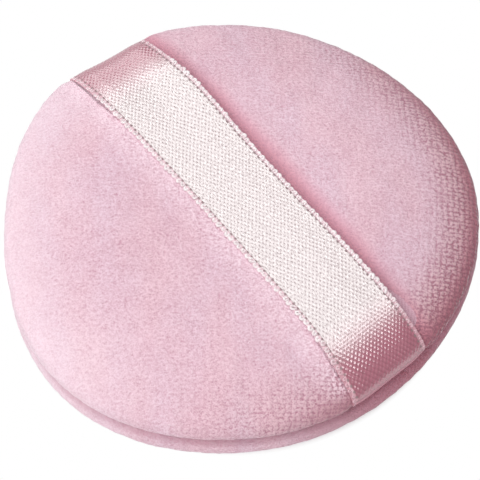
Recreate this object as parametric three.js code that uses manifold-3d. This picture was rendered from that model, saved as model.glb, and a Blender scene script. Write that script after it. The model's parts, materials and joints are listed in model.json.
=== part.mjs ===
// A round powder puff: two velour covers sewn together round a foam disc, with a satin
// finger ribbon across the face, whose two ends are caught in the seam.
// Millimetres, +Z up. The puff lies on its back on z = 0 and the ribbon runs along X.

import * as THREE from "three";
import { mergeVertices } from "three/addons/utils/BufferGeometryUtils.js";
import Module from "manifold-3d";

const wasm = await Module();
wasm.setup();

// Pad
const padRadius = 40; // mean radius of the outline
const padHeight = 13.2; // from the table to the crown of the face
const crownPower = 3.4; // of the face's curve: 2 is an ellipse, more is flatter with a rounder shoulder
const faceRimHeight = 7.3; // widest line of the face cover
const backRimHeight = 2.4; // widest line of the back cover
const backEdgeWidth = 5; // width of the round edge beside the flat underside

// The outline is cut by hand and isn't a true circle: each wave has a number of lobes round
// the pad, a depth, and the direction of one crest in degrees.
const outlineWaves = [
  { lobes: 2, depth: 0.22, crest: 95.7 },
  { lobes: 3, depth: 0.93, crest: 54.2 },
  { lobes: 4, depth: 0.22, crest: 3.4 },
  { lobes: 5, depth: 0.19, crest: 56.4 },
];

// Covers and seam
const coverWall = 1; // velour, knit ground and pile together
const seamHeight = 4.9; // middle of the seam above the table
const grooveDepth = 2; // how far the seam lies behind the rim
const seamAllowance = 6; // width of the turned-in edge of each cover
const clearance = 0.3; // between pieces that touch on the real puff

// Finger ribbon
const ribbonWidth = 15;
const ribbonThickness = 0.4;
const ribbonOffset = 2.7; // from the pad's centre to the ribbon's middle line, along Y
const nearDraw = 1.3; // how far the ribbon draws the rim in at its +X end
const farDraw = 2.4; // and at its -X end

// Sewing thread
const stitchCount = 48; // stitches round the whole seam
const closingStitches = 6; // of these, sewn by hand once the foam is in
const closingAngle = 270; // middle of the hand-sewn stretch, in degrees
const stitchInset = 1.2; // from the bottom of the groove to the line of stitches
const threadDiameter = 0.3;
const threadGap = 0.1; // between thread and thread, and thread and cloth
const closingTail = 1.7; // free end of the hand-sewn thread

// Heights and reaches that follow from these
const seamHalfGap = clearance / 2;
const ribbonHalfGap = ribbonThickness / 2 + clearance;
const stitchRadius = padRadius - grooveDepth - stitchInset;
const loopReach = threadDiameter + threadGap;
const holeSize = 2 * (loopReach + threadDiameter / 2 + threadGap);
const stackHalf = ribbonHalfGap + coverWall + threadGap + threadDiameter;
const stitchAngle = (2 * Math.PI) / stitchCount;
const padSegments = stitchCount; // one facet of the pad for each stitch

const velour = new THREE.MeshStandardMaterial({ color: 0xecc8d6, roughness: 1, metalness: 0 });
const satin = new THREE.MeshStandardMaterial({ color: 0xfaeaec, roughness: 0.35, metalness: 0 });
const foam = new THREE.MeshStandardMaterial({ color: 0xf6efe4, roughness: 0.95, metalness: 0 });
const thread = new THREE.MeshStandardMaterial({ color: 0xf0c4d2, roughness: 0.6, metalness: 0 });

// Outline of the pad

function waveRadius(angle) {
  let radius = padRadius;
  for (const wave of outlineWaves) {
    const crest = THREE.MathUtils.degToRad(wave.crest);
    radius += wave.depth * Math.cos(wave.lobes * (angle - crest));
  }
  return radius;
}

// Distance from the pad's centre to the straight line that the ribbon draws the rim in to.
const nearReach = waveRadius(0) - nearDraw;
const farReach = waveRadius(Math.PI) - farDraw;

// Whether the ribbon, or the facet beside its edge, lies over the rim in this direction.
function underRibbon(angle) {
  const side = waveRadius(angle) * Math.sin(angle) - ribbonOffset;
  const facet = padRadius * stitchAngle;
  return Math.abs(side) < ribbonWidth / 2 + facet;
}

function outlineRadius(angle) {
  const round = waveRadius(angle);
  if (!underRibbon(angle)) {
    return round;
  }
  const slope = Math.cos(angle);
  const line = slope > 0 ? nearReach / slope : -farReach / slope;
  return Math.min(round, line);
}

// Closed round solids

// A station is a point of the half section: r from the axis, z up, and lift, its share of
// the spread where the ribbon's end holds the covers' edges further apart.
function station(r, z, lift = 0) {
  return { r, z, lift };
}

// From share to share of the radius, along the domed face.
function crown(radius, base, top, shares) {
  return shares.map((share) => {
    const rise = Math.sqrt(1 - share ** crownPower);
    return station(radius * share, base + (top - base) * rise);
  });
}

// From the widest line of the rim round into the groove, along a quarter of an ellipse.
function rimToSeam(inset, rimHeight, seamLevel, lift, degrees) {
  return degrees.map((degree) => {
    const turn = THREE.MathUtils.degToRad(degree);
    const depth = inset + (grooveDepth - inset) * (1 - Math.cos(turn));
    const height = rimHeight + (seamLevel - rimHeight) * Math.sin(turn);
    return station(padRadius - depth, height, lift * Math.sin(turn));
  });
}

// From the flat underside round to the widest line of the back's rim.
function backEdge(inset, floor, rimHeight, degrees) {
  const flat = padRadius - backEdgeWidth;
  return degrees.map((degree) => {
    const turn = THREE.MathUtils.degToRad(degree);
    const reach = flat + (backEdgeWidth - inset) * Math.sin(turn);
    return station(reach, floor + (rimHeight - floor) * (1 - Math.cos(turn)));
  });
}

// Turns a half section, listed from its lowest point on the axis to its highest, round the
// axis and fits it to the outline.
function roundSolid(stations) {
  const points = stations.map(({ r, z }) => new THREE.Vector2(r, z));
  const geometry = new THREE.LatheGeometry(points, padSegments);
  geometry.rotateX(Math.PI / 2);
  const position = geometry.getAttribute("position");
  for (let i = 0; i < position.count; i++) {
    const x = position.getX(i);
    const y = position.getY(i);
    const angle = Math.atan2(y, x);
    const stretch = outlineRadius(angle) / padRadius;
    const spread = underRibbon(angle) ? ribbonHalfGap - seamHalfGap : 0;
    const lift = stations[i % stations.length].lift * spread;
    position.setXYZ(i, x * stretch, y * stretch, position.getZ(i) + lift);
  }
  return geometry;
}

function faceCoverGeometry() {
  const under = seamHeight + seamHalfGap;
  const over = under + coverWall;
  const edge = padRadius - grooveDepth - seamAllowance;
  return roundSolid([
    ...crown(padRadius - coverWall, faceRimHeight, padHeight - coverWall, [0, 0.65, 0.9, 1]),
    ...rimToSeam(coverWall, faceRimHeight, over, 1, [90]),
    station(edge, over, 1),
    station(edge, under, 1),
    ...rimToSeam(0, faceRimHeight, under, 1, [90, 60, 30]),
    ...crown(padRadius, faceRimHeight, padHeight, [1, 0.965, 0.9, 0.8, 0.64, 0.4, 0]),
  ]);
}

function backCoverGeometry() {
  const over = seamHeight - seamHalfGap;
  const under = over - coverWall;
  const edge = padRadius - grooveDepth - seamAllowance;
  return roundSolid([
    station(0, 0),
    ...backEdge(0, 0, backRimHeight, [0, 30, 60, 90]),
    ...rimToSeam(0, backRimHeight, over, -1, [30, 60, 90]),
    station(edge, over, -1),
    station(edge, under, -1),
    ...rimToSeam(coverWall, backRimHeight, under, -1, [90]),
    ...backEdge(coverWall, coverWall, backRimHeight, [90, 50, 0]),
    station(0, coverWall),
  ]);
}

// The foam's rim is notched all round, where the turned-in edges and the stitches press into it.
function foamGeometry() {
  const inset = coverWall + 2 * clearance;
  const floor = coverWall + clearance;
  const waist = padRadius - grooveDepth - seamAllowance - clearance;
  const notchLow = seamHeight - stackHalf - clearance;
  const notchHigh = seamHeight + stackHalf + clearance;
  const top = padHeight - coverWall - clearance;
  return roundSolid([
    station(0, floor),
    ...backEdge(inset, floor, notchLow, [0, 45, 90]),
    station(waist, notchLow),
    station(waist, notchHigh),
    ...crown(padRadius - inset, notchHigh, top, [1, 0.9, 0.65, 0]),
  ]);
}

// Ribbon

// Offsets a point of the pad's section by a distance along its outward normal.
function offset(point, normal, distance) {
  return point.clone().addScaledVector(normal.clone().normalize(), distance);
}

// The side view of a strip of ribbon that follows a line of points at a clearance from it.
function stripShape(line) {
  const inner = line.map(({ point, normal }) => offset(point, normal, clearance));
  const outer = line.map(({ point, normal }) => offset(point, normal, clearance + ribbonThickness));
  return new THREE.Shape([...inner, ...outer.reverse()]);
}

function ribbonGeometry(shape) {
  const geometry = new THREE.ExtrudeGeometry(shape, { depth: ribbonWidth, bevelEnabled: false });
  geometry.rotateX(Math.PI / 2);
  geometry.translate(0, ribbonOffset + ribbonWidth / 2, 0);
  return geometry;
}

// The face's section under the ribbon, from the cut at the rim to the crown.
function faceLine(reach, steps) {
  const height = padHeight - faceRimHeight;
  const start = Math.asin(clearance / height);
  const line = [];
  for (let i = 0; i < steps; i++) {
    const turn = start + (Math.PI / 2 - start) * (i / steps);
    const share = Math.cos(turn) ** (2 / crownPower);
    const rise = height * Math.sin(turn);
    const slope = (crownPower * share ** (crownPower - 1)) / Math.abs(reach);
    line.push({
      point: new THREE.Vector2(reach * share, faceRimHeight + rise),
      normal: new THREE.Vector2(slope * Math.sign(reach), (2 * rise) / height ** 2),
    });
  }
  return line;
}

function spanGeometry() {
  const steps = 11;
  const crownPoint = { point: new THREE.Vector2(0, padHeight), normal: new THREE.Vector2(0, 1) };
  return ribbonGeometry(
    stripShape([...faceLine(nearReach, steps), crownPoint, ...faceLine(-farReach, steps).reverse()]),
  );
}

// From the widest line of the rim down into the groove and in between the covers' edges.
function tailGeometry(reach) {
  const scale = Math.abs(reach) / padRadius;
  const depth = grooveDepth * scale;
  const side = Math.sign(reach);
  const seamTop = seamHeight + ribbonHalfGap;
  const drop = faceRimHeight - seamTop;
  const line = [];
  for (let degree = 0; degree <= 90; degree += 15) {
    const turn = THREE.MathUtils.degToRad(degree);
    const x = Math.abs(reach) - depth * (1 - Math.cos(turn));
    line.push({
      point: new THREE.Vector2(side * x, faceRimHeight - drop * Math.sin(turn)),
      normal: new THREE.Vector2((side * Math.cos(turn)) / depth, -Math.sin(turn) / drop),
    });
  }
  const end = Math.abs(reach) - (grooveDepth + seamAllowance) * scale;
  line.push({ point: new THREE.Vector2(side * end, seamTop), normal: new THREE.Vector2(0, -1) });
  return ribbonGeometry(stripShape(line));
}

// Needle holes

function solid(geometry) {
  const bare = geometry.clone();
  bare.deleteAttribute("normal");
  bare.deleteAttribute("uv");
  const merged = mergeVertices(bare, 1e-4);
  return new wasm.Manifold(
    new wasm.Mesh({
      numProp: 3,
      vertProperties: merged.getAttribute("position").array,
      triVerts: new Uint32Array(merged.index.array),
    }),
  );
}

function geometryOf(made) {
  const { vertProperties, triVerts } = made.getMesh();
  const geometry = new THREE.BufferGeometry();
  geometry.setAttribute("position", new THREE.BufferAttribute(vertProperties, 3));
  geometry.setIndex(new THREE.BufferAttribute(triVerts, 1));
  geometry.computeVertexNormals();
  return geometry;
}

function stitchTurn(index) {
  return (index + 0.5) * stitchAngle;
}

function stitchPlace(index) {
  const angle = stitchTurn(index);
  return (stitchRadius * outlineRadius(angle)) / padRadius;
}

// Cuts the hole of every stitch that passes through a piece.
function withHoles(geometry) {
  let piece = solid(geometry);
  const height = 2 * stackHalf;
  for (let index = 0; index < stitchCount; index++) {
    const hole = new THREE.BoxGeometry(holeSize, holeSize, height);
    hole.translate(stitchPlace(index), 0, seamHeight);
    hole.rotateZ(stitchTurn(index));
    piece = piece.subtract(solid(hole));
  }
  return geometryOf(piece);
}

// Thread

// A point at a stitch: out along the radius, round along the seam, and up.
function atStitch(index, out, along, height) {
  const place = new THREE.Vector3(stitchPlace(index) + out, along, height);
  return place.applyAxisAngle(new THREE.Vector3(0, 0, 1), stitchTurn(index));
}

// Height of a thread that lies on the cloth beside a stitch, above or below the seam.
function layHeight(index, side) {
  const spread = underRibbon(index * stitchAngle) || underRibbon((index + 1) * stitchAngle);
  const half = spread ? ribbonHalfGap : seamHalfGap;
  return seamHeight + side * (half + coverWall + threadGap + threadDiameter / 2);
}

// A thread of square section along a line of points.
function threadGeometry(points) {
  const radius = threadDiameter / 2;
  const sides = 4;
  const positions = [];
  const index = [];
  const heading = new THREE.Vector3();
  const last = new THREE.Vector3();
  const normal = new THREE.Vector3();
  points.forEach((point, i) => {
    const before = points[Math.max(i - 1, 0)];
    const after = points[Math.min(i + 1, points.length - 1)];
    const into = point.clone().sub(before).normalize();
    const out = after.clone().sub(point).normalize();
    heading.copy(into).add(out).normalize();
    if (i === 0) {
      const upright = Math.abs(heading.z) > 0.7;
      normal.set(upright ? 1 : 0, 0, upright ? 0 : 1).projectOnPlane(heading).normalize();
    } else {
      normal.applyQuaternion(new THREE.Quaternion().setFromUnitVectors(last, heading));
    }
    last.copy(heading);
    const across = new THREE.Vector3().crossVectors(heading, normal);
    for (let side = 0; side < sides; side++) {
      const turn = ((side + 0.5) * 2 * Math.PI) / sides;
      const corner = point.clone();
      corner.addScaledVector(normal, radius * Math.cos(turn));
      corner.addScaledVector(across, radius * Math.sin(turn));
      positions.push(...corner.toArray());
    }
  });
  for (let ring = 0; ring + 1 < points.length; ring++) {
    for (let side = 0; side < sides; side++) {
      const a = ring * sides + side;
      const b = ring * sides + ((side + 1) % sides);
      index.push(a, b, b + sides, a, b + sides, a + sides);
    }
  }
  const end = (points.length - 1) * sides;
  index.push(0, 2, 1, 0, 3, 2);
  index.push(end, end + 1, end + 2, end, end + 2, end + 3);
  const geometry = new THREE.BufferGeometry();
  geometry.setAttribute("position", new THREE.Float32BufferAttribute(positions, 3));
  geometry.setIndex(index);
  geometry.computeVertexNormals();
  return geometry;
}

const closingMiddle = THREE.MathUtils.degToRad(closingAngle) / stitchAngle;
const closingFirst = Math.round(closingMiddle - closingStitches / 2);
const machineFirst = closingFirst + closingStitches;
const machineCount = stitchCount - closingStitches;

// The needle's thread lies on the face's edge and dips in a loop through each hole.
function needleThreadGeometry() {
  const points = [];
  const low = seamHeight - loopReach / 2;
  for (let step = 0; step < machineCount; step++) {
    const index = machineFirst + step;
    const high = layHeight(index, 1);
    points.push(atStitch(index, 0, -loopReach, high));
    points.push(atStitch(index, 0, -loopReach, low));
    points.push(atStitch(index, 0, loopReach, low));
    points.push(atStitch(index, 0, loopReach, high));
  }
  return threadGeometry(points);
}

// The bobbin's thread lies under the back's edge and rises over the needle's loop in each hole.
function bobbinThreadGeometry() {
  const points = [];
  const high = seamHeight + loopReach / 2;
  for (let step = 0; step < machineCount; step++) {
    const index = machineFirst + step;
    const low = layHeight(index, -1);
    points.push(atStitch(index, -loopReach, 0, low));
    points.push(atStitch(index, -loopReach, 0, high));
    points.push(atStitch(index, loopReach, 0, high));
    points.push(atStitch(index, loopReach, 0, low));
  }
  return threadGeometry(points);
}

// One thread closes the gap that the foam went in by, in and out in a running stitch.
function closingThreadGeometry() {
  const points = [atStitch(closingFirst, 0, -closingTail, layHeight(closingFirst, 1))];
  for (let step = 0; step < closingStitches; step++) {
    const index = closingFirst + step;
    const side = step % 2 === 0 ? 1 : -1;
    points.push(atStitch(index, 0, 0, layHeight(index, side)));
    points.push(atStitch(index, 0, 0, layHeight(index, -side)));
  }
  const lastStitch = closingFirst + closingStitches - 1;
  const lastSide = closingStitches % 2 === 0 ? 1 : -1;
  points.push(atStitch(lastStitch, 0, closingTail, layHeight(lastStitch, lastSide)));
  return threadGeometry(points);
}

// Assembly

const puff = new THREE.Group();

function add(group, name, geometry, material) {
  const mesh = new THREE.Mesh(geometry, material);
  mesh.name = name;
  group.add(mesh);
}

const pad = new THREE.Group();
add(pad, "face_cover", withHoles(faceCoverGeometry()), velour);
add(pad, "back_cover", withHoles(backCoverGeometry()), velour);
add(pad, "foam_core", foamGeometry(), foam);
add(pad, "ribbon_tail_near", withHoles(tailGeometry(nearReach)), satin);
add(pad, "ribbon_tail_far", withHoles(tailGeometry(-farReach)), satin);
add(pad, "seam_needle_thread", needleThreadGeometry(), thread);
add(pad, "seam_bobbin_thread", bobbinThreadGeometry(), thread);
add(pad, "closing_thread", closingThreadGeometry(), thread);
puff.add(pad);

const ribbon = new THREE.Group();
add(ribbon, "finger_ribbon", spanGeometry(), satin);
puff.add(ribbon);

export default puff;
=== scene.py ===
"""A round powder puff: two velour covers sewn round a foam disc, with a satin finger ribbon.

The puff's sizes are in millimetres, as on the maker's drawing, and meshes and the studio are in
metres. +Z is up, the puff lies on its back on z = 0, and the ribbon runs along X. A pair of places
runs from where something starts to where it is full.
"""

import json
import logging
import math
import random
from collections.abc import Iterator, Mapping, Sequence
from contextlib import contextmanager
from dataclasses import dataclass, replace
from enum import Enum

import bmesh
import bpy
import numpy as np
from mathutils import Matrix, Vector, noise

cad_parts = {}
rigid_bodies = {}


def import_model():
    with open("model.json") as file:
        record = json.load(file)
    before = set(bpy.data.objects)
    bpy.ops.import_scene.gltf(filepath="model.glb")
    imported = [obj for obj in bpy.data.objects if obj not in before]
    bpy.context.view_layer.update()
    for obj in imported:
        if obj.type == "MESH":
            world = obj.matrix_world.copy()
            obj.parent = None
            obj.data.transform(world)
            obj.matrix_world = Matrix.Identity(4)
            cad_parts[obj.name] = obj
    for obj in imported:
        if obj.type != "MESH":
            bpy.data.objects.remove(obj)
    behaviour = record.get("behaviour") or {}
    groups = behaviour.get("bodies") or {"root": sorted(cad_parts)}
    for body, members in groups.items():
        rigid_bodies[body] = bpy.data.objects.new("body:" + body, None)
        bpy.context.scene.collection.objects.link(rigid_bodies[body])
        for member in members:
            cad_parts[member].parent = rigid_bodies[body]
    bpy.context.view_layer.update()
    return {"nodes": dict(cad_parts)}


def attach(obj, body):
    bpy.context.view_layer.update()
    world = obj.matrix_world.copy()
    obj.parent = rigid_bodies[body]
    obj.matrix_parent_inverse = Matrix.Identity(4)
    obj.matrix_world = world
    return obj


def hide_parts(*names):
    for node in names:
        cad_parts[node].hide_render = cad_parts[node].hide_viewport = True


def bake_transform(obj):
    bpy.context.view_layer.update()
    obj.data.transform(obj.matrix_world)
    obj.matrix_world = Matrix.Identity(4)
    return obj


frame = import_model()

MM = 0.001
GRAIN_MAP = "grain"
WEAVE_MAP = "weave"
GRAIN_SPAN = 200.0
WEAVE_SPAN = 100.0
CLOSE = 1e-3
OFF_ZERO = 0.01
NO_LENGTH = 1e-9
NUMBERING = (1.0, 0.618, 0.272)

Colour = tuple[float, float, float]
Pair = tuple[float, float]

log = logging.getLogger("puff")


class End(Enum):
    """An end of the ribbon, by the side of the pad that it lies on along X."""

    NEAR = 1
    FAR = -1


class Edge(Enum):
    """An edge of the ribbon, by its side along Y."""

    LEFT = -1
    RIGHT = 1


# Bench tools


def smoothstep(low: float, high: float, value: np.ndarray | float) -> np.ndarray:
    """A soft step.

    Args:
        low: value at which the step starts, where it is 0.
        high: value at which the step ends, where it is 1.
        value: one number or an array.

    Returns:
        The step's height at each value.
    """
    share = np.clip((np.asarray(value, float) - low) / (high - low), 0.0, 1.0)
    return share * share * (3.0 - 2.0 * share)


def points_of(piece: bpy.types.Object) -> np.ndarray:
    """Reads where the vertices of a piece are.

    Args:
        piece: the piece to read.

    Returns:
        A row of millimetres for each vertex.
    """
    flat = np.empty(len(piece.data.vertices) * 3)
    piece.data.vertices.foreach_get("co", flat)
    return flat.reshape(-1, 3) / MM


def move_points(piece: bpy.types.Object, points: np.ndarray) -> None:
    """Moves the vertices of a piece to rows of millimetres."""
    piece.data.vertices.foreach_set("co", (points * MM).ravel())
    piece.data.update()


def normals_of(piece: bpy.types.Object) -> np.ndarray:
    """Reads the vertex normals of a piece.

    Args:
        piece: the piece to read.

    Returns:
        A row for each vertex.
    """
    flat = np.empty(len(piece.data.vertices) * 3)
    piece.data.vertex_normals.foreach_get("vector", flat)
    return flat.reshape(-1, 3)


def select_only(*pieces: bpy.types.Object) -> None:
    """Selects these pieces alone, with the first one active.

    Args:
        pieces: the pieces, or none to clear the selection.
    """
    for other in bpy.context.view_layer.objects:
        other.select_set(False)
    for piece in pieces:
        piece.select_set(True)
    bpy.context.view_layer.objects.active = pieces[0] if pieces else None


def named(piece: bpy.types.Object, name: str) -> bpy.types.Object:
    """Gives a piece and its mesh one name.

    Args:
        piece: the piece to name.
        name: the name.

    Returns:
        The same piece.
    """
    piece.name = name
    piece.data.name = name
    return piece


@contextmanager
def editing(piece: bpy.types.Object) -> Iterator[None]:
    """Edit mode on one piece, left again at the end.

    Args:
        piece: the piece to edit.

    Yields:
        Nothing, while the piece is in edit mode.
    """
    select_only(piece)
    bpy.ops.object.mode_set(mode="EDIT")
    try:
        yield
    finally:
        bpy.ops.object.mode_set(mode="OBJECT")


def apply_modifier(piece: bpy.types.Object, kind: str, **settings: object) -> None:
    """Adds a modifier, sets it and applies it.

    Args:
        piece: the piece to finish.
        kind: Blender's type of modifier.
        settings: the modifier's own properties.
    """
    select_only(piece)
    bpy.ops.object.modifier_add(type=kind)
    modifier = piece.modifiers[-1]
    for key, value in settings.items():
        setattr(modifier, key, value)
    bpy.ops.object.modifier_apply(modifier=modifier.name)


def subdivide(piece: bpy.types.Object, levels: int) -> None:
    """Rounds a piece by a subdivision surface and applies it."""
    apply_modifier(piece, "SUBSURF", levels=levels, render_levels=levels)


def smooth_shade(piece: bpy.types.Object) -> None:
    """Shades a piece smooth all over."""
    select_only(piece)
    bpy.ops.object.shade_smooth()


def lay_map(piece: bpy.types.Object, name: str, places: np.ndarray) -> None:
    """Writes a UV map from one place per vertex.

    Args:
        piece: the piece to map.
        name: the map's name.
        places: rows of u and v, one for each vertex.
    """
    layer = piece.data.uv_layers.get(name) or piece.data.uv_layers.new(name=name)
    corners = np.empty(len(piece.data.loops), np.int32)
    piece.data.loops.foreach_get("vertex_index", corners)
    layer.uv.foreach_set("vector", places[corners].astype(np.float32).ravel())


def evenly(line: np.ndarray, spacing: float) -> np.ndarray:
    """Steps along a line.

    Args:
        line: rows of points.
        spacing: about how far apart the steps are.

    Returns:
        Points on the line at equal steps, both ends included.
    """
    lengths = np.linalg.norm(np.diff(line, axis=0), axis=1)
    along = np.concatenate([[0.0], np.cumsum(lengths)])
    count = max(1, round(along[-1] / spacing))
    steps = np.linspace(0.0, along[-1], count + 1)
    return np.stack([np.interp(steps, along, column) for column in line.T], axis=1)


def joined(*lines: np.ndarray) -> np.ndarray:
    """One line from several that follow each other, each shared end kept once."""
    return np.concatenate([lines[0], *(line[1:] for line in lines[1:])])


# Shader bench


class Field:
    """A socket that carries one number over the surface, with arithmetic that adds nodes."""

    def __init__(self, bench: "ShaderBench", socket: bpy.types.NodeSocket) -> None:
        """Keeps the bench and the socket."""
        self.bench = bench
        self.socket = socket

    def math(self, operation: str, *others: "Field | float", clamp: bool = False) -> "Field":
        """A Math node on this field.

        Args:
            operation: the node's operation.
            others: its second and third value.
            clamp: whether the result is held between 0 and 1.

        Returns:
            The node's result.
        """
        settings = {"operation": operation, "use_clamp": clamp}
        inputs = dict(enumerate((self, *others)))
        return self.bench.value("ShaderNodeMath", settings, inputs)

    def __add__(self, other: "Field | float") -> "Field":
        """This plus another."""
        return self.math("ADD", other)

    __radd__ = __add__

    def __sub__(self, other: "Field | float") -> "Field":
        """This less another."""
        return self.math("SUBTRACT", other)

    def __rsub__(self, other: float) -> "Field":
        """A number less this."""
        return (self * -1.0) + other

    def __mul__(self, other: "Field | float") -> "Field":
        """This times another."""
        return self.math("MULTIPLY", other)

    __rmul__ = __mul__

    def __truediv__(self, other: "Field | float") -> "Field":
        """This over another."""
        return self.math("DIVIDE", other)

    def __pow__(self, power: float) -> "Field":
        """This to a power."""
        return self.math("POWER", power)

    def cosine(self) -> "Field":
        """The cosine of this, in turns: 1 is a whole turn."""
        return (self * math.tau).math("COSINE")

    def exponent(self) -> "Field":
        """The number e to the power of this."""
        return self.math("EXPONENT")

    def magnitude(self) -> "Field":
        """This without its sign."""
        return self.math("ABSOLUTE")

    def clamped(self) -> "Field":
        """This held between 0 and 1."""
        return self.math("ADD", 0.0, clamp=True)

    def step(self, low: float, high: float) -> "Field":
        """A soft step.

        Args:
            low: value at which it starts, where it is 0.
            high: value at which it ends, where it is 1, and which may be the smaller one.

        Returns:
            The step's height.
        """
        settings = {"interpolation_type": "SMOOTHSTEP"}
        start, end = min(low, high), max(low, high)
        rising = self.bench.value(
            "ShaderNodeMapRange", settings, {"Value": self, "From Min": start, "From Max": end}
        )
        return rising if low < high else 1.0 - rising


class ShaderBench:
    """The nodes of one material."""

    def __init__(self, name: str) -> None:
        """Starts a material with no nodes but its output.

        Args:
            name: the material's name.
        """
        self.material = bpy.data.materials.new(name)
        self.material.use_nodes = True
        self.tree = self.material.node_tree
        self.tree.nodes.clear()
        self.output = self.tree.nodes.new("ShaderNodeOutputMaterial")

    def node(
        self,
        kind: str,
        settings: Mapping[str, object] | None = None,
        inputs: Mapping[str | int, object] | None = None,
    ) -> bpy.types.Node:
        """Adds a node.

        Args:
            kind: the node's type.
            settings: its properties, which are set first.
            inputs: values, fields or sockets for its inputs, by name or number.

        Returns:
            The node.
        """
        made = self.tree.nodes.new(kind)
        for key, value in (settings or {}).items():
            setattr(made, key, value)
        for key, value in (inputs or {}).items():
            if isinstance(value, Field):
                value = value.socket
            if isinstance(value, bpy.types.NodeSocket):
                self.tree.links.new(value, made.inputs[key])
            else:
                made.inputs[key].default_value = value
        return made

    def value(
        self,
        kind: str,
        settings: Mapping[str, object] | None = None,
        inputs: Mapping[str | int, object] | None = None,
        output: str | int = 0,
    ) -> Field:
        """Adds a node and returns one of its outputs as a field."""
        return Field(self, self.node(kind, settings, inputs).outputs[output])

    def scaled(self, vector: bpy.types.NodeSocket, factor: float) -> bpy.types.NodeSocket:
        """A vector times a number."""
        inputs = {0: vector, 3: factor}
        return self.node("ShaderNodeVectorMath", {"operation": "SCALE"}, inputs).outputs[0]

    def places(self) -> bpy.types.NodeSocket:
        """Object coordinates in millimetres."""
        return self.scaled(self.node("ShaderNodeTexCoord").outputs["Object"], 1 / MM)

    def map_places(self, name: str, span: float) -> bpy.types.NodeSocket:
        """A UV map's coordinates in millimetres, from the map's name and the span of its unit."""
        return self.scaled(self.node("ShaderNodeUVMap", {"uv_map": name}).outputs[0], span)

    def parts(self, vector: bpy.types.NodeSocket) -> tuple[Field, ...]:
        """The three numbers of a vector."""
        split = self.node("ShaderNodeSeparateXYZ", None, {0: vector})
        return tuple(Field(self, socket) for socket in split.outputs)

    def vector(self, x: Field, y: Field, sizes: Pair) -> bpy.types.NodeSocket:
        """A vector from two distances, each over a size of its own."""
        inputs = {0: x / sizes[0], 1: y / sizes[1]}
        return self.node("ShaderNodeCombineXYZ", None, inputs).outputs[0]

    def cloud(
        self,
        places: bpy.types.NodeSocket,
        size: float,
        detail: float = 2.0,
        roughness: float = 0.5,
    ) -> Field:
        """Soft noise about 0.

        Args:
            places: coordinates in millimetres.
            size: size of its largest lumps in millimetres.
            detail: number of finer layers.
            roughness: weight of the finer layers.

        Returns:
            The noise, from about -1 to 1.
        """
        inputs = {"Vector": places, "Scale": 1.0 / size, "Detail": detail, "Roughness": roughness}
        return (self.value("ShaderNodeTexNoise", {"normalize": True}, inputs) - 0.5) * 2.0

    def mixed(self, low: object, high: object, share: Field) -> bpy.types.NodeSocket:
        """A colour between two.

        Args:
            low: the colour at a share of 0, as a colour or a socket.
            high: the colour at a share of 1, as a colour or a socket.
            share: how far the second one shows.

        Returns:
            The mixed colour.
        """
        ends = [(*end, 1.0) if isinstance(end, tuple) else end for end in (low, high)]
        inputs = {0: share, 6: ends[0], 7: ends[1]}
        return self.node("ShaderNodeMix", {"data_type": "RGBA"}, inputs).outputs[2]

    def bumped(self, height: Field, strength: float = 1.0) -> bpy.types.NodeSocket:
        """A normal bent by a height in millimetres."""
        inputs = {"Strength": strength, "Distance": MM, "Height": height}
        return self.node("ShaderNodeBump", None, inputs).outputs[0]

    def shader(self, **inputs: object) -> bpy.types.NodeSocket:
        """Adds a Principled shader.

        Args:
            inputs: its sockets, with underscores for spaces.

        Returns:
            Its output.
        """
        sockets = {key.replace("_", " "): value for key, value in inputs.items()}
        return self.node("ShaderNodeBsdfPrincipled", None, sockets).outputs[0]

    def blended(
        self, low: bpy.types.NodeSocket, high: bpy.types.NodeSocket, share: Field
    ) -> bpy.types.NodeSocket:
        """A shader between two."""
        return self.node("ShaderNodeMixShader", None, {0: share, 1: low, 2: high}).outputs[0]

    def closed(self, shader: bpy.types.NodeSocket) -> bpy.types.Material:
        """Joins a shader to the output and returns the material."""
        self.tree.links.new(shader, self.output.inputs[0])
        return self.material

    def surface(self, **inputs: object) -> bpy.types.Material:
        """Closes the material with one Principled shader, given by its sockets."""
        return self.closed(self.shader(**inputs))


# Finishes


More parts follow.
